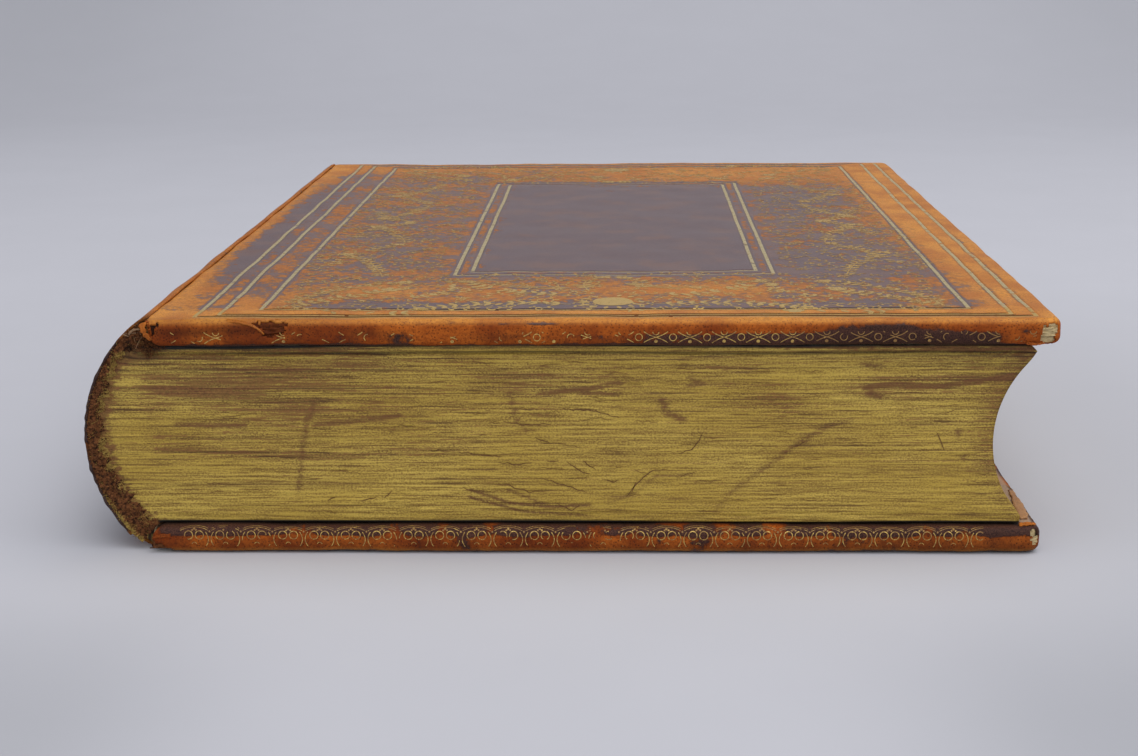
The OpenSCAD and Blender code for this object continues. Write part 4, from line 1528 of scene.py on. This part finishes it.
frame_lines = Gilding(face_gold, line_worn)
for inset, end in FILLETS:
    x0, x1 = front_x + joint_margin + inset + fillet_w / 2, fore_x - inset - fillet_w / 2
    y0, y1 = end - half_l + fillet_w / 2, half_l - end - fillet_w / 2
    corners = np.array([(x0, y0), (x1, y0), (x1, y1), (x0, y1)])
    for a, b in zip(corners, np.roll(corners, -1, axis=0)):
        steps = int(np.linalg.norm(b - a) / 0.8)
        frame_lines.line(a + (b - a) * np.linspace(0, 1, steps)[:, None], fillet_w * 0.86)


def less_at_tail(x, y, z):
    return smooth_step(10 - half_l, 14 - half_l, y)


frame_lines.lay("gilt_frame_lines", "front_cover", -0.06, less_at_tail)

mid_x = (front_x + joint_margin + fore_x) / 2
sprays = Gilding(face_gold, face_worn)


def mirrored(across, along):
    """Turns the quarter's drawing into one of the cover's four quarters."""
    return lambda u, v: (mid_x + across * u, -along * v)


def side_leaf(quarter_of, u, v, way, length, width):
    """A leaf whose way is given in the quarter's drawing."""
    x0, y0 = quarter_of(u, v)
    x1, y1 = quarter_of(u + math.cos(way), v + math.sin(way))
    sprays.leaf(x0, y0, math.atan2(y1 - y0, x1 - x0), length, width)


def spray(quarter_of, u, v, heading, length, bend, scale):
    """A bent stem with leaves on both sides and a flower at its tip."""
    steps = int(length / 0.8)
    turn_by = heading + bend * np.linspace(0, 1, steps) ** 1.3
    us, vs = u + np.cumsum(np.cos(turn_by)) * 0.8, v + np.cumsum(np.sin(turn_by)) * 0.8
    xs, ys = quarter_of(us, vs)
    sprays.line(np.stack([xs, ys], -1), 0.34 * scale)
    for i in range(3, steps - 2, 3):
        for side in (-1, 1):
            side_leaf(quarter_of, us[i], vs[i], turn_by[i] + side * 0.9, 2.5 * scale, 1.15 * scale)
    sprays.flower(xs[-1], ys[-1], 2.2 * scale)
    sprays.dot(xs[-1], ys[-1], 0.5 * scale)


def scroll(quarter_of, u, v, heading, hand, size):
    """A small curl with a dot in its eye and three leaves on its back."""
    t = np.linspace(0, 1, 14)
    a, radius = heading + hand * 4.6 * t, size * (1 - 0.72 * t)
    us, vs = u + radius * np.cos(a), v + radius * np.sin(a)
    sprays.line(np.stack(quarter_of(us, vs), -1), 0.3)
    sprays.dot(*quarter_of(us[-1], vs[-1]), 0.32, 7)
    for i in (0, 3, 6):
        side_leaf(quarter_of, us[i], vs[i], a[i], size * 0.9, size * 0.42)


# Each spray: where it starts in the quarter, its heading, length, bend and scale
SPRAYS = [
    (8, 111, -0.25, 34, 0.9, 1.0),
    (9, 101, -0.2, 30, -0.9, 1.0),
    (5, 96, -1.2, 18, -1.3, 0.9),
    (69, 113, 2.6, 34, 0.9, 1.0),
    (69, 112, -1.9, 36, -0.9, 1.0),
    (70, 114, -2.5, 30, 0.2, 1.1),
    (46, 104, -2.8, 20, 1.3, 0.8),
    (52, 80, -1.4, 34, 0.5, 1.0),
    (66, 66, -1.7, 34, -0.6, 1.0),
    (52, 34, -1.4, 30, 0.5, 1.0),
    (66, 26, -1.7, 30, -0.6, 1.0),
]
SCROLL_PITCH = 4.2
SCROLL_AREAS = [((3, 76), (71, 116)), ((40, 2), (71, 74))]
garland = np.linspace(0, 1, 60)
rng = np.random.default_rng(95)
for across in (-1, 1):
    for along in (1, -1):
        place = mirrored(across, along)
        for s in SPRAYS:
            spray(place, *s)
        for apart in (0, 1.5):
            wave = place(3 + 34 * garland, 88 + apart + 4.5 * np.sin(garland * np.pi * 1.5))
            sprays.line(np.stack(wave, -1), 0.5)
        for (u0, v0), (u1, v1) in SCROLL_AREAS:
            for u in np.arange(u0 + 1.5, u1, SCROLL_PITCH):
                for v in np.arange(v0 + 1.5, v1, SCROLL_PITCH):
                    u2, v2 = (u, v) + rng.uniform(-1.3, 1.3, 2)
                    heading, hand = rng.uniform(0, 2 * np.pi), rng.choice((-1, 1))
                    scroll(place, u2, v2, heading, hand, rng.uniform(1.0, 1.9))
DISC_Y, DISC_R = 108.4, 4.2
for y in (-DISC_Y, DISC_Y):
    sprays.dot(mid_x, y, DISC_R, 36)
    for a in np.linspace(0, 2 * np.pi, 15)[:-1]:
        sprays.leaf(mid_x + 5 * math.cos(a), y + 5 * math.sin(a), a, 2.2, 1.0)


def spray_wear_and_highlight(x, y, z):
    """Rubbing of the sprays' gold, less in the middle of the tail band, where the brighter gold is a painted
    highlight.
    """
    return 0.03 - 0.13 * smooth_step(-86, -94, y) * smooth_step(62, 34, np.abs(x - mid_x))


sprays.lay("gilt_sprays", "front_cover", spray_wear_and_highlight)

# %% [markdown]
# The edges of the covers were run over with a roll, a small engraved wheel. The front cover has crossed
# arcs with rings between them. The back cover has rings and bowed bars on the edge, and a border of
# shallow arcs on the part that shows inside. Both follow the outline, so a place is given as the run
# along the outline and the run down the section.


# %% Rolls on the covers' edges
def roll_gold(run, down):
    return skin_place(run, down, 0.045)


roll_rub, roll_fine = ripple(96, 26, 2), ripple(97, 4.2, 2)


def front_roll_worn(run, down):
    x, y = (np.interp(run, outline_run, outline[:, i]) for i in range(2))
    left = roll_left(x, y) - 0.3 * smooth_step(42, 52, x) * on_tail(y)
    return left + 0.4 * roll_fine(run, down) + 0.2 * roll_rub(run, 0 * run) > 0.42


def back_roll_worn(run, down):
    left = 0.5 * roll_rub(run + 300, 0 * run) + 0.6 * roll_fine(run, down) + 0.8
    return (left > 0) & ~((run > 172) & (run < 188))


GOLD_LINE, FRONT_PITCH, BACK_PITCH = 0.17, 6.8, 6.5
arm = np.linspace(-1, 1, 15)
front_roll = Gilding(roll_gold, front_roll_worn)
middle = run_down(3.55)
for c in np.arange(8, outline_run[-1] - 8, FRONT_PITCH):
    for side in (-1, 1):
        crossed = np.stack([c + 2.4 * arm, middle + side * (0.75 * arm + 0.4 * arm**3)], -1)
        front_roll.line(crossed, GOLD_LINE)
    front_roll.ring(c + FRONT_PITCH / 2, middle, 0.7, GOLD_LINE)
    front_roll.ring(c, middle - 1.1, 0.63, GOLD_LINE, 0, np.pi)
    front_roll.dot(c, middle + 0.85, 0.36)


def roll_rubbed(x, y, z):
    return 0.02 + 0.16 * smooth_step(42, 54, x) * on_tail(y)


front_roll.lay("gilt_front_roll", "front_cover", roll_rubbed)

back_roll, back_border = Gilding(roll_gold, back_roll_worn), Gilding(roll_gold, back_roll_worn)
middle = run_down(2.9) + 0.85
lip = run_down(cover_t - 0.9)
for c in np.arange(10, outline_run[-1] - 8, BACK_PITCH):
    for side in (-1, 1):
        back_roll.ring(c + side * 1.12, middle, 0.86, 0.18, -1.9, 4.2)
        bow = np.stack([c + BACK_PITCH / 2 + side * (0.28 + 0.55 * arm**2), middle - 0.85 + 1.5 * arm], -1)
        back_roll.line(bow, GOLD_LINE)
        back_border.dot(c + side * 0.4, lip + 1.3, 0.2)
    back_roll.ring(c, middle - 2.0, 0.5, 0.13, 0.2, 2.9)
    for rise in (0.0, 0.42):
        back_border.line(np.stack([c + 2.9 * arm, lip + 1.95 + rise - 0.75 * arm**2], -1), 0.12)
    back_border.dot(c, lip + 1.6, 0.25)
    back_border.dot(c + BACK_PITCH / 2, lip + 1.0, 0.2)
back_roll.lay("gilt_back_roll", "back_cover", 0.05, turn=to_back)
back_border.lay("gilt_back_border", "back_cover", 0.12, turn=to_back)
